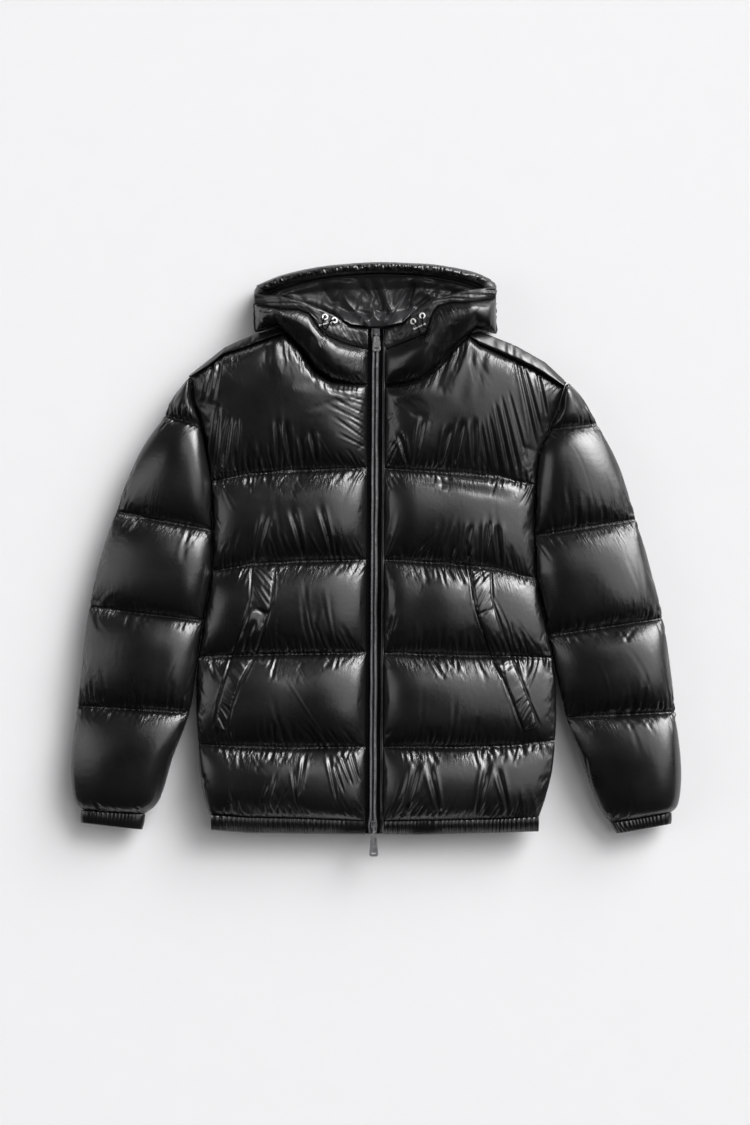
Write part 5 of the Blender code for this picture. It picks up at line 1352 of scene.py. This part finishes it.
# %% Hood shell
# Its section from the surface up to the rim: the share of the way across the rim, how far it is
# drawn in, and the share of the rim's height.
HOOD_LEVELS = (
    (0.0, 12.0, 0.0), (0.0, 4.0, 0.14), (0.0, 0.0, 0.45), (0.0, 1.5, 0.78), (0.3, 0.0, 0.97),
    (0.7, 0.0, 1.0), (1.0, 0.0, 0.94),
)
HOOD_AROUND, HOOD_UP = 420, 37
HOOD_SLANT = (0.8, 0.5)  # the folds' bearings in radians, right and left of the face opening


def hood_ring(column, count):
    values = [getattr(station, column) for station in HOOD]
    looped = values[-2:] + values + values[:3]
    return through(looped, range(-2, len(values) + 3), np.arange(count) * len(values) / count)


def build_hood():
    rng = np.random.default_rng(110)
    outer, inner = [
        np.stack([hood_ring(edge + axis, HOOD_AROUND) for axis in ("_x", "_y")], axis=1)
        for edge in ("outer", "inner")
    ]
    rim, inward = hood_ring("rim_z", HOOD_AROUND), unit(inner - outer)
    ripple = wander(np.arange(HOOD_AROUND), 3.0, rng)
    ripple[0] = ripple[-1] = 0
    loops = []
    for place in np.linspace(0, len(HOOD_LEVELS) - 1, HOOD_UP):
        across, inset, height = [through([l[k] for l in HOOD_LEVELS], range(7), place) for k in range(3)]
        push = 0.9 * ripple * arch(min(1, place / 6))
        plan = outer + across * (inner - outer) + (inset + push[:, None]) * inward
        loops.append(np.column_stack([plan, rim * height]))
    middle = inner.mean(axis=0)
    low = inner + unit(middle - inner) * (6.0, 2.5)
    loops.append(np.column_stack([low, np.full(HOOD_AROUND, HOOD_FLOOR)]))
    grid = np.array(loops)
    x, y, z = grid[..., 0], grid[..., 1], grid[..., 2]
    slant = np.where(x < 0, *HOOD_SLANT)
    across, along = x * np.sin(slant) - y * np.cos(slant), x * np.cos(slant) + y * np.sin(slant)
    rise = 3.4 * folds(along, across, 60.0, 15.0, rng)
    z += rise * smoothstep(15, 26, z) * smoothstep(0, 1, np.abs(x) / 60 - 1)
    fall = np.maximum(np.abs(x) - 112, 0) * smoothstep(376, 362, y) * smoothstep(15, 40, z)
    z -= np.minimum(np.where(x < 0, 0.5, 0.34) * fall, 0.4 * z)
    points = np.concatenate([grid.reshape(-1, 3), [[*middle, 0.0], [*middle, HOOD_FLOOR]]])
    faces = grid_faces(len(loops), HOOD_AROUND, 0, True)
    faces += end_fans(len(loops), HOOD_AROUND, (len(points) - 2, len(points) - 1))
    return mesh_object("hood_back", points, faces, creased_shell_painted_sheen)


finish_piece(build_hood(), "hood_shell")

# %% Hood rim
RIM_LONG, RIM_WIDE, RIM_LOFT = 345.0, 15.0, 12.0
RIM_SECTION = ((0.25, 0.78, 1.0, 0.8, 0.3), (0.0, 0.15, 0.45, 0.85, 1.0))  # how full, and where across


def hood_edge(edge, share):
    """Plan and height of the face opening's outer or inner edge, from its right corner to its left."""
    place = CORNER_RIGHT + share * (CORNER_LEFT - CORNER_RIGHT)
    places = range(CORNER_RIGHT, CORNER_LEFT + 1)
    stations = HOOD[CORNER_RIGHT : CORNER_LEFT + 1]
    columns = (edge + "_x", edge + "_y", "rim_z")
    return [through([getattr(s, column) for s in stations], places, place) for column in columns]


def build_rim():
    rng = np.random.default_rng(115)
    share, across = np.linspace(0, 0.965, 560), np.linspace(0, 1, 13)
    ox, oy, rim = hood_edge("outer", share)
    ix, iy, _ = hood_edge("inner", share)
    outer, inward = np.stack([ox, oy], axis=1), unit(np.stack([ix - ox, iy - oy], axis=1))
    ribs = gathers(share * RIM_LONG, 9.5, rng)
    at_end = 0.6 + 0.4 * roll(np.minimum(share, 1 - share) / 0.05)
    bottom = rim + 1.2
    upper = []
    for place in across:
        full = through(*RIM_SECTION, place)
        z = bottom + (RIM_LOFT * at_end + 0.5 * ribs * arch(place)) * full
        upper.append(np.column_stack([outer + inward * RIM_WIDE * place, z]))
    lower = [np.column_stack([row[:, :2], bottom]) for row in (upper[0], upper[-1])]
    upper, lower = np.swapaxes(np.array(upper), 0, 1), np.swapaxes(np.array(lower), 0, 1)
    run, over = np.meshgrid(share * RIM_LONG, across, indexing="ij")
    bunched = folds(over * RIM_WIDE, run + 5 * over, 15.0, 10.0, rng)
    bunched = bunched + 0.6 * folds(over * RIM_WIDE, run - 4 * over, 9.0, 5.0, rng)
    bunched = 1.8 * bunched * np.sin(math.pi * (0.08 + 0.84 * over))
    upper[..., 2] += bunched * smoothstep(0, 0.03, run / RIM_LONG)
    return pad("hood_edge", upper, lower, shell)


finish_piece(build_rim(), "hood_rim")

# %% [markdown]
# The lining covers the floor of the hood and climbs to the rim all round. The large folds are placed
# one by one, soft ones fan out from the neck, and fine ones lie over both. Where the top pull swings
# over, the lining stays under it.

# %% Hood lining
LINING_FOLDS = table("Fold", "x0 y0 x1 y1 width height", (
    (-104, 378, -50, 394, 10, 9), (-50, 396, -6, 346, 15, 15), (-96, 366, -58, 352, 9, 7),
    (-76, 384, -62, 362, 8, -8), (-30, 398, 4, 352, 7, -9), (-8, 397, 14, 346, 6, -10),
    (4, 396, 20, 352, 5, 6), (45, 396, 27, 347, 13, 15), (52, 386, 44, 352, 5, -9),
    (62, 394, 100, 372, 11, 11), (66, 376, 96, 362, 7, 7), (104, 384, 128, 372, 9, 7),
    (-120, 374, -98, 362, 8, 6), (-24, 352, 2, 347, 5, 4), (84, 384, 80, 364, 5, -5),
))
FAN_CENTRE = (4.0, 312.0)  # where the soft folds fan out from
FAN_KNOTS = np.random.default_rng(124).uniform(-1, 1, (8, 30))
LINING_ROWS, LINING_COLUMNS, LINING_THICK = 61, 201, 1.2
LINING_FRONT = (-106.0, 214.0)  # where its front edge starts along X, and its width
PULL_SWING = (0.6, 316.5, 44.0, 0.268)  # the pull's X, its hinge's Y, the lining's height there, its slope


def fold_height(x, y):
    total = np.zeros_like(x)
    for fold in LINING_FOLDS:
        run = np.array([fold.x1 - fold.x0, fold.y1 - fold.y0], float)
        share = np.clip(((x - fold.x0) * run[0] + (y - fold.y0) * run[1]) / (run @ run), 0, 1)
        away = np.hypot(x - fold.x0 - share * run[0], y - fold.y0 - share * run[1])
        total += fold.height * bell(away / (0.75 * fold.width))
    return total


def fan_height(x, y):
    """Soft folds that fan out from the front of the neck."""
    x, y = x - FAN_CENTRE[0], y - FAN_CENTRE[1]
    return 1 - 2.2 * np.abs(on_lattice(FAN_KNOTS, np.hypot(x, y) / 60.0, np.arctan2(x, y) * 62.0 / 30.0 + 14))


def build_lining():
    share, ts = np.linspace(0, 1, LINING_COLUMNS), np.linspace(0, 1, LINING_ROWS)
    top_x, top_y, rim = hood_edge("inner", share)
    front_x = LINING_FRONT[0] + share * LINING_FRONT[1]
    down, over = np.meshgrid(np.linspace(0, 60, LINING_ROWS), share * LINING_FRONT[1], indexing="ij")
    fine = folds(down, over + 0.5 * down, 34.0, 10.0, np.random.default_rng(7))
    side = np.minimum(share, 1 - share) * 22
    border = np.maximum(1 - side / 3.0, 0.0)
    floor_z = HOOD_FLOOR + LINING_THICK
    pull_x, hinge_y, hinge_z, pull_slope = PULL_SWING
    upper, lower = [], []
    for t, fine_row in zip(ts, fine):
        inset = 2.2 * (smoothstep(0.04, 0, share) - smoothstep(0.96, 1, share))
        x = top_x + t * (front_x - top_x) + inset
        front_y = np.minimum(342.0, on_line(BAND[-1] + BAND[1], x) + 0.7)
        y = top_y + t * (front_y - top_y) - 2.2 * float(smoothstep(0.08, 0.0, t))
        climb, edge = max(1 - t / 0.3, 0.0) ** 1.5, 0.75 - 0.35 * float(smoothstep(0.9, 1.0, t))
        wall = np.minimum(np.maximum(climb, edge * border), 1.0)
        z = floor_z + np.maximum(rim - 3.5 - floor_z, 0.0) * wall
        drape = 0.6 * fold_height(x, y) + 9.0 + 6.5 * fan_height(x, y) + 1.5 * fine_row
        z = z + np.maximum(drape, -0.6) * smoothstep(0, 2, side) * float(smoothstep(0, 0.2, t))
        centre = 1 - smoothstep(44, 62, np.abs(x))
        z = z + 22.5 * centre * float(smoothstep(0.7, 1.0, t))
        under_pull = hinge_z + pull_slope * (y - hinge_y)
        z = z - smoothstep(17, 9, np.abs(x - pull_x)) * np.maximum(z - under_pull, 0)
        upper.append(at_height(x, y, z + LINING_THICK))
        lower.append(at_height(x, y, z))
    return pad("lining", upper, lower, lining)


lining_piece = finish_piece(build_lining(), "hood_lining")

# %% [markdown]
# What lies on a panel is laid on its finished surface: a ray straight down finds the height.

# %% Surfaces under the trim


def node_object(name):
    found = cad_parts[name]
    return bpy.data.objects[found] if isinstance(found, str) else found


def surface_of(*pieces):
    """Trees of the finished pieces, to find the height of their surface."""
    return [
        BVHTree.FromPolygons([v.co for v in piece.data.vertices], [f.vertices for f in piece.data.polygons])
        for piece in pieces
    ]


def height_at(trees, x, y):
    found = [tree.ray_cast(Vector((x * MM, y * MM, 1.0)), Vector((0, 0, -1)))[0] for tree in trees]
    levels = [place.z / MM for place in found if place]
    return max(levels) if levels else None


print("the right front is", round(height_at(surface_of(panels[-1]), -120, -200), 1), "mm high at a baffle")

# %% [markdown]
# A welt is a long flat roll with a cross seam at each third. It lies on the front, leans one way
# and the other along its length, stands up where the pocket gapes, and is crumpled at its ends and
# seams.

# %% Pocket welts
CROSS_SEAMS = ((1.25, 0.05), (3.05, 0.06))  # each seam's place along the welt, and its width
GAPES = ((1.25, 1.42, 0.45, 2.9, 2.0), (3.06, 3.2, 0.3, 4.4, 3.6))  # start, full, slant, end, last full
BUSY_PLACES = (0.2, 0.8, 3.3, 5.2, 5.8)
WELT_RISE, WELT_CRUMPLE, WELT_UNDER = 3.0, 1.3, 2.0
LEANS = {  # how far each stretch leans to the viewer's right, by its place along the welt
    -1: ((0, -3.0), (1.2, 3.0), (1.3, -7.0), (1.6, -6.0), (1.9, 3.0), (2.9, 3.0), (3.1, -6.0),
         (3.5, -4.0), (3.9, 2.0), (6, -2.0)),
    1: ((0, -3.0), (1.2, -3.0), (1.3, -2.0), (2.9, -3.0), (3.1, 3.0), (3.4, -2.0), (5.6, -1.0), (6, 4.0)),
}


def build_welt(side):
    rows, trees = WELT[side], surface_of(panels[side])
    places, share = np.linspace(0, len(rows) - 1, 150), np.linspace(0, 1, 19)
    rng = np.random.default_rng(12)
    sx, sy, ex, ey = [
        through([getattr(row, key) for row in rows], range(len(rows)), places)
        for key in ("side_x", "side_y", "zip_x", "zip_y")
    ]
    along, over = np.meshgrid(places * 38, share * 28, indexing="ij")
    crumple = folds(over + 0.2 * along, along - 0.7 * over, 70.0, 8.0, rng)
    lean = side * np.interp(places, *zip(*LEANS[side]))
    busy = np.minimum(0.3 + sum(bell((places - spot) / 0.35) for spot in BUSY_PLACES), 1.1)
    pressed = 1 - 0.5 * sum(bell((places - seam) / width) for seam, width in CROSS_SEAMS)
    plateau = np.maximum(1 - np.abs(2 * share - 1) ** 4, 0.0) ** 0.6
    upper, lower = [], []
    for n, place in enumerate(places):
        x, y = sx[n] + share * (ex[n] - sx[n]), sy[n] + share * (ey[n] - sy[n])
        level = np.array([height_at(trees, *spot) for spot in zip(x, y)])
        lifted = sum(
            smoothstep(start, full + slant * share, place) * smoothstep(end, last_full, place)
            for start, full, slant, end, last_full in GAPES
        )
        rise = WELT_RISE * (pressed[n] + lifted) + lean[n] * (0.5 - share)
        rise = rise + WELT_CRUMPLE * busy[n] * crumple[n]
        upper.append(at_height(x, y, level + np.maximum(rise * plateau, 0.2)))
        lower.append(at_height(x, y, level - WELT_UNDER))
    return pad(SIDE_NAMES[side] + "_pocket", upper, lower, shell)


for side, name in SIDE_NAMES.items():
    finish_piece(build_welt(side), "pocket_" + name)

# %% [markdown]
# A nylon coil zip is two rows of loops that mesh. One tooth is modelled with the usual tools, a bar
# with bevelled edges, and copied down both sides. A stitch is made the same way: a short rod whose
# ends are drawn in, laid along each seam.

# %% Copies of one model
TOOTH = (3.8, 0.95, 2.6)
TOOTH_BEVEL = 0.28
STITCH_RADIUS, STITCH_LENGTH, STITCH_END = 0.3, 2.3, 0.5
STITCH_PITCH, STITCH_SINK = 3.4, 0.5


def tooth_model():
    """One tooth: a bar across its half of the chain, its edges bevelled."""
    bpy.ops.object.select_all(action="DESELECT")
    bpy.ops.mesh.primitive_cube_add(size=1.0, location=(0, 0, 0))
    bar = bpy.context.object
    bar.scale = [side * MM for side in TOOTH]
    bpy.ops.object.transform_apply(location=False, rotation=False, scale=True)
    bpy.ops.object.mode_set(mode="EDIT")
    bpy.ops.mesh.select_all(action="SELECT")
    bpy.ops.mesh.bevel(offset=TOOTH_BEVEL * MM, segments=1, affect="EDGES")
    bpy.ops.object.mode_set(mode="OBJECT")
    return bar


def stitch_model():
    """One stitch: a rod whose two ends are extruded inwards, as the thread dives into the cloth."""
    bpy.ops.object.select_all(action="DESELECT")
    bpy.ops.mesh.primitive_cylinder_add(
        vertices=6, radius=STITCH_RADIUS * MM, depth=STITCH_LENGTH * MM, end_fill_type="NGON"
    )
    rod = bpy.context.object
    bpy.ops.object.mode_set(mode="EDIT")
    bpy.ops.mesh.select_all(action="DESELECT")
    shape = bmesh.from_edit_mesh(rod.data)
    for face in shape.faces:
        face.select = abs(face.normal.z) > 0.9
    bmesh.update_edit_mesh(rod.data)
    bpy.ops.mesh.extrude_region_shrink_fatten(TRANSFORM_OT_shrink_fatten={"value": STITCH_END * MM})
    bpy.ops.transform.resize(value=(0.35, 0.35, 1.0), center_override=(0, 0, 0))
    bpy.ops.object.mode_set(mode="OBJECT")
    rod.rotation_euler = (0, math.radians(90), 0)
    bpy.ops.object.transform_apply(location=False, rotation=True, scale=False)
    return rod


def copies(name, model, places, runs, finish):
    """Copies of a model, each at a place in millimetres with its length along a run."""
    corners = np.array([vertex.co for vertex in model.data.vertices]) / MM
    sides = [tuple(face.vertices) for face in model.data.polygons]
    places, runs = np.concatenate(places), unit(np.concatenate(runs))
    beside = unit(np.cross((0, 0, 1.0), runs))
    turn = np.stack([runs, beside, np.cross(runs, beside)], axis=2)
    points = (np.einsum("nij,kj->nki", turn, corners) + places[:, None]).reshape(-1, 3)
    faces = [tuple(c + n * len(corners) for c in side) for n in range(len(places)) for side in sides]
    piece = mesh_object(name, points, faces, finish)
    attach(piece, "jacket")
    print(f"{name}: {len(places)} copies")
    return piece


def run_length(line):
    """How far along a line of points each of them lies."""
    return np.concatenate([[0], np.cumsum(np.linalg.norm(np.diff(line, axis=0), axis=1))])


def read_line(line, at):
    """Points on a line at these distances along it."""
    length = run_length(line)
    return np.stack([np.interp(at, length, line[:, k]) for k in range(3)], axis=1)


def sew(name, lines, model):
    """A row of stitches along each line of points."""
    places, runs = [], []
    for line in lines:
        spots = np.arange(STITCH_PITCH, run_length(line)[-1] - STITCH_PITCH / 2, STITCH_PITCH)
        at = read_line(line, spots)
        places.append(at - (0, 0, STITCH_SINK))
        runs.append(read_line(line, spots + 0.5) - at)
    copies(name, model, places, runs, thread)


stitch = stitch_model()
SEWN = (("front", fronts, slice(3, -3)), ("sleeve", sleeves, slice(1, SLEEVE_EDGE)))
for kind, pieces, columns in SEWN:
    for side, sheet in pieces.items():
        lines = [FINE[sheet.name][2 * seam, columns] for seam in sheet.seams[1:-1]]
        sew(f"{SIDE_NAMES[side]}_{kind}_stitches", lines, stitch)
bpy.data.objects.remove(stitch, do_unlink=True)

# %% Zip teeth
TOOTH_PITCH, TOOTH_OFFSET, TOOTH_Z = 1.6, 1.05, 40.1

tooth = tooth_model()
tooth_places, tooth_runs = [], []
for side in (-1, 1):
    y = np.arange(ZIP_TOP_Y - 2 - TOOTH_PITCH / 2 * (side > 0), ZIP_BOTTOM_Y + 2, -TOOTH_PITCH)
    tooth_places.append(at_height(zip_x(y) + side * TOOTH_OFFSET, y, TOOTH_Z))
    tooth_runs.append(np.tile((1.0, 0.0, 0.0), (len(y), 1)))
coil = copies("zip_coil", tooth, tooth_places, tooth_runs, gunmetal)
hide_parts("zip_chain")
bpy.data.objects.remove(tooth, do_unlink=True)

# %% [markdown]
# Two slim rolls of the shell cloth lie along the zip and almost hide its teeth, and a third runs
# along the left front's edge. They are stuffed piping, so each is a soft tube that wavers a little
# and opens round the sliders.

# %% Piping along the zip
PIPING_Z, PIPING_COLUMNS = 41.3, 17
SLIDERS_Y = (318.0, -372.0)
Roll = namedtuple("Roll", "name opens finish section")
# Each section runs from left to right: across from the zip's middle line, and height.
PIPING = (
    # The two rolls beside the teeth are coloured pale grey as a painted highlight; the edge roll keeps the
    # shell.
    Roll("right_piping", -1, piping_painted_highlight, (
        (-6.6, 41.3), (-6.4, 42.7), (-5.8, 43.9), (-5.2, 44.1), (-4.4, 43.8), (-3.4, 43.2), (-2.9, 42.2),
        (-2.7, 41.3),
    )),
    Roll("left_piping", 1, piping_painted_highlight, (
        (-1.1, 41.3), (-0.9, 42.8), (-0.4, 44.0), (0.3, 44.2), (1.3, 43.9), (2.5, 43.2), (3.1, 42.2),
        (3.4, 41.3),
    )),
    Roll("left_edge_piping", 1, shell, (
        (8.2, 41.3), (8.4, 42.4), (9.0, 43.4), (10.2, 43.9), (11.4, 43.8), (12.2, 43.5), (12.7, 42.8),
        (12.9, 41.3),
    )),
)


def piping(roll_of_cloth, rng):
    name, opens, finish, section = roll_of_cloth
    y = np.linspace(ZIP_TOP_Y + 2, ZIP_BOTTOM_Y, 420)
    across, height = smooth_path(section, PIPING_COLUMNS).T
    open_up = sum(bell((y - spot) / 9.0) for spot in SLIDERS_Y)
    swell = 0.16 * wander(y, 17, rng) + 0.09 * wander(y, 6.0, rng)
    drift = 0.4 * wander(y, 26, rng)
    middle = zip_x(y) + drift + opens * 1.4 * open_up
    rise = (1 + swell) * (1 - 0.5 * open_up)
    z = np.maximum(PIPING_Z + rise[:, None] * (height - PIPING_Z), PIPING_Z)
    upper = np.stack([middle[:, None] + across, np.broadcast_to(y[:, None], z.shape), z], axis=-1)
    lower = upper[:, [0, PIPING_COLUMNS // 2, PIPING_COLUMNS - 1]] * (1, 1, 0) + (0, 0, PIPING_Z - 0.05)
    finish_piece(pad(name, upper, lower, finish))


def smooth_path(points, count):
    """A smooth curve through the points."""
    places = np.linspace(0, len(points) - 1, count)
    return np.stack([through(column, range(len(points)), places) for column in zip(*points)], axis=1)


for number, roll_of_cloth in enumerate(PIPING):
    piping(roll_of_cloth, np.random.default_rng(131 + number))

# %% [markdown]
# The zip tapes, sliders, pulls, eyelets and spindles keep their solids, whose shapes are right, and take
# their finishes; the tapes' extra black is painted shade and the eyelets' and spindles' white is partly
# painted glint.

# %% Zip, pulls, eyelets and spindles
FITTINGS = {
    tape: ("zip_tape_right", "zip_tape_left"),
    gunmetal: ("slider_top", "slider_bottom"),
    pull_metal: ("pull_top", "pull_bottom"),
    nickel: EYELETS + SPINDLES,
}
for finish, names in FITTINGS.items():
    for name in names:
        solid = node_object(name)
        if not solid.data.materials:
            solid.data.materials.append(finish)
        for place in solid.material_slots:
            place.material = finish
    print(finish.name, "on", ", ".join(names))

# %% [markdown]
# The drawcord comes out of one eyelet, passes over its spindle and goes back into the next one. It is limp,
# so its route is smoothed a set number of times to soften its bends. The hanger loop is a thicker roll of the
# lining's satin.

# %% Drawcord and hanger loop
OVER = -1.0  # in place of a lift: over the spindle
CORD_STOPS = {  # places in plan, and the lift off the cloth
    -1: (
        (-71.8, 339.4, 2.6), (-72.0, 338.3, 4.8), (-74.4, 334.6, 6.6), (-75.8, 329.0, OVER),
        (-74.6, 323.2, 5.4), (-71.0, 321.4, 5.0), (-67.4, 323.8, 5.4), (-66.4, 330.6, OVER),
        (-62.8, 334.8, 7.2), (-59.2, 335.2, 5.4), (-58.5, 335.2, 2.8),
    ),
    1: (
        (51.8, 333.3, 2.6), (52.4, 332.3, 4.8), (54.6, 329.6, 6.6), (58.4, 325.4, OVER),
        (60.2, 320.6, 5.0), (61.2, 315.6, 3.4), (66.4, 312.9, 3.4), (72.4, 315.6, 3.4),
        (73.2, 321.2, 4.0), (68.6, 324.8, 6.0), (64.0, 328.0, OVER), (64.9, 336.0, 6.6),
        (64.6, 340.2, 4.8), (64.5, 341.2, 2.6),
    ),
}
CORD_POINTS = {-1: 120, 1: 180}
CORD_THICK, LOOP_THICK = 1.8, 4.0
SPINDLE_ENDS = {-1: ((-79.8, 327.6), (-62.4, 331.8)), 1: ((52.3, 322.4), (68.8, 329.8))}
# How far off the cloth a cord lies over its spindle: to the spindle's middle, its radius and the cord's.
SPINDLE_TOP = 4.0 + 1.1 + CORD_THICK / 2 + SEAM_GAP
LOOP_STOPS = (
    (-12.0, 343.5, 2.6), (-9.0, 347.5, 3.6), (-3.0, 349.5, 4.5), (3.5, 347.5, 3.6), (7.0, 343.5, 2.6),
)


def top_level(trees, x, y):
    """The cloth's height at a place and 1 mm around it, the highest of these."""
    around = ((0, 0), (1, 0), (-1, 0), (0, 1), (0, -1))
    levels = [height_at(trees, x + dx, y + dy) for dx, dy in around]
    return max(level for level in levels if level is not None)


def relax(path, times):
    for _ in range(times):
        path[1:-1] += 0.25 * (path[:-2] + path[2:] - 2 * path[1:-1])


def even_steps(path):
    """The same path with its points spaced evenly."""
    return read_line(path, np.linspace(0, run_length(path)[-1], len(path)))


def round_cord(name, path, diameter, finish, sides=10):
    """A round cord along a path in millimetres, closed at both ends."""
    rings, up = [], np.array([0.0, 0.0, 1.0])
    for place, run in zip(path, unit(np.gradient(path, axis=0))):
        up = unit(up - run * (up @ run))
        beside = np.cross(run, up)
        turn = np.linspace(0, 2 * math.pi, sides, endpoint=False)
        rings.append(place + diameter / 2 * (np.cos(turn)[:, None] * up + np.sin(turn)[:, None] * beside))
    points = np.concatenate([np.concatenate(rings), path[:1], path[-1:]])
    faces = grid_faces(len(path), sides, 0, True)
    faces += end_fans(len(path), sides, (len(points) - 2, len(points) - 1))
    return mesh_object(name, points, faces, finish)


def lay_cord(side):
    """One drawcord loop on its band, laid along its path."""
    name = SIDE_NAMES[side]
    trees = surface_of(node_object("band_" + name), node_object("chin_" + name))
    over = max(top_level(trees, *end) for end in SPINDLE_ENDS[side]) + SPINDLE_TOP
    stops = [
        (x, y, over if lift == OVER else top_level(trees, x, y) + lift)
        for x, y, lift in CORD_STOPS[side]
    ]
    path = smooth_path(stops, CORD_POINTS[side])
    relax(path, 60)
    for _ in range(6):
        path = even_steps(path)
        relax(path, 6)
    path = even_steps(path)
    cord = round_cord("drawcord_" + name, path, CORD_THICK, braid)
    finish_piece(cord, "cord_" + name)


for side in SIDE_NAMES:
    lay_cord(side)
bed = surface_of(node_object("hood_lining"))
stops = [(x, y, top_level(bed, x, y) + lift) for x, y, lift in LOOP_STOPS]
loop = round_cord("hanger", smooth_path(stops, 40), LOOP_THICK, lining, sides=14)
finish_piece(loop, "hanger_loop")
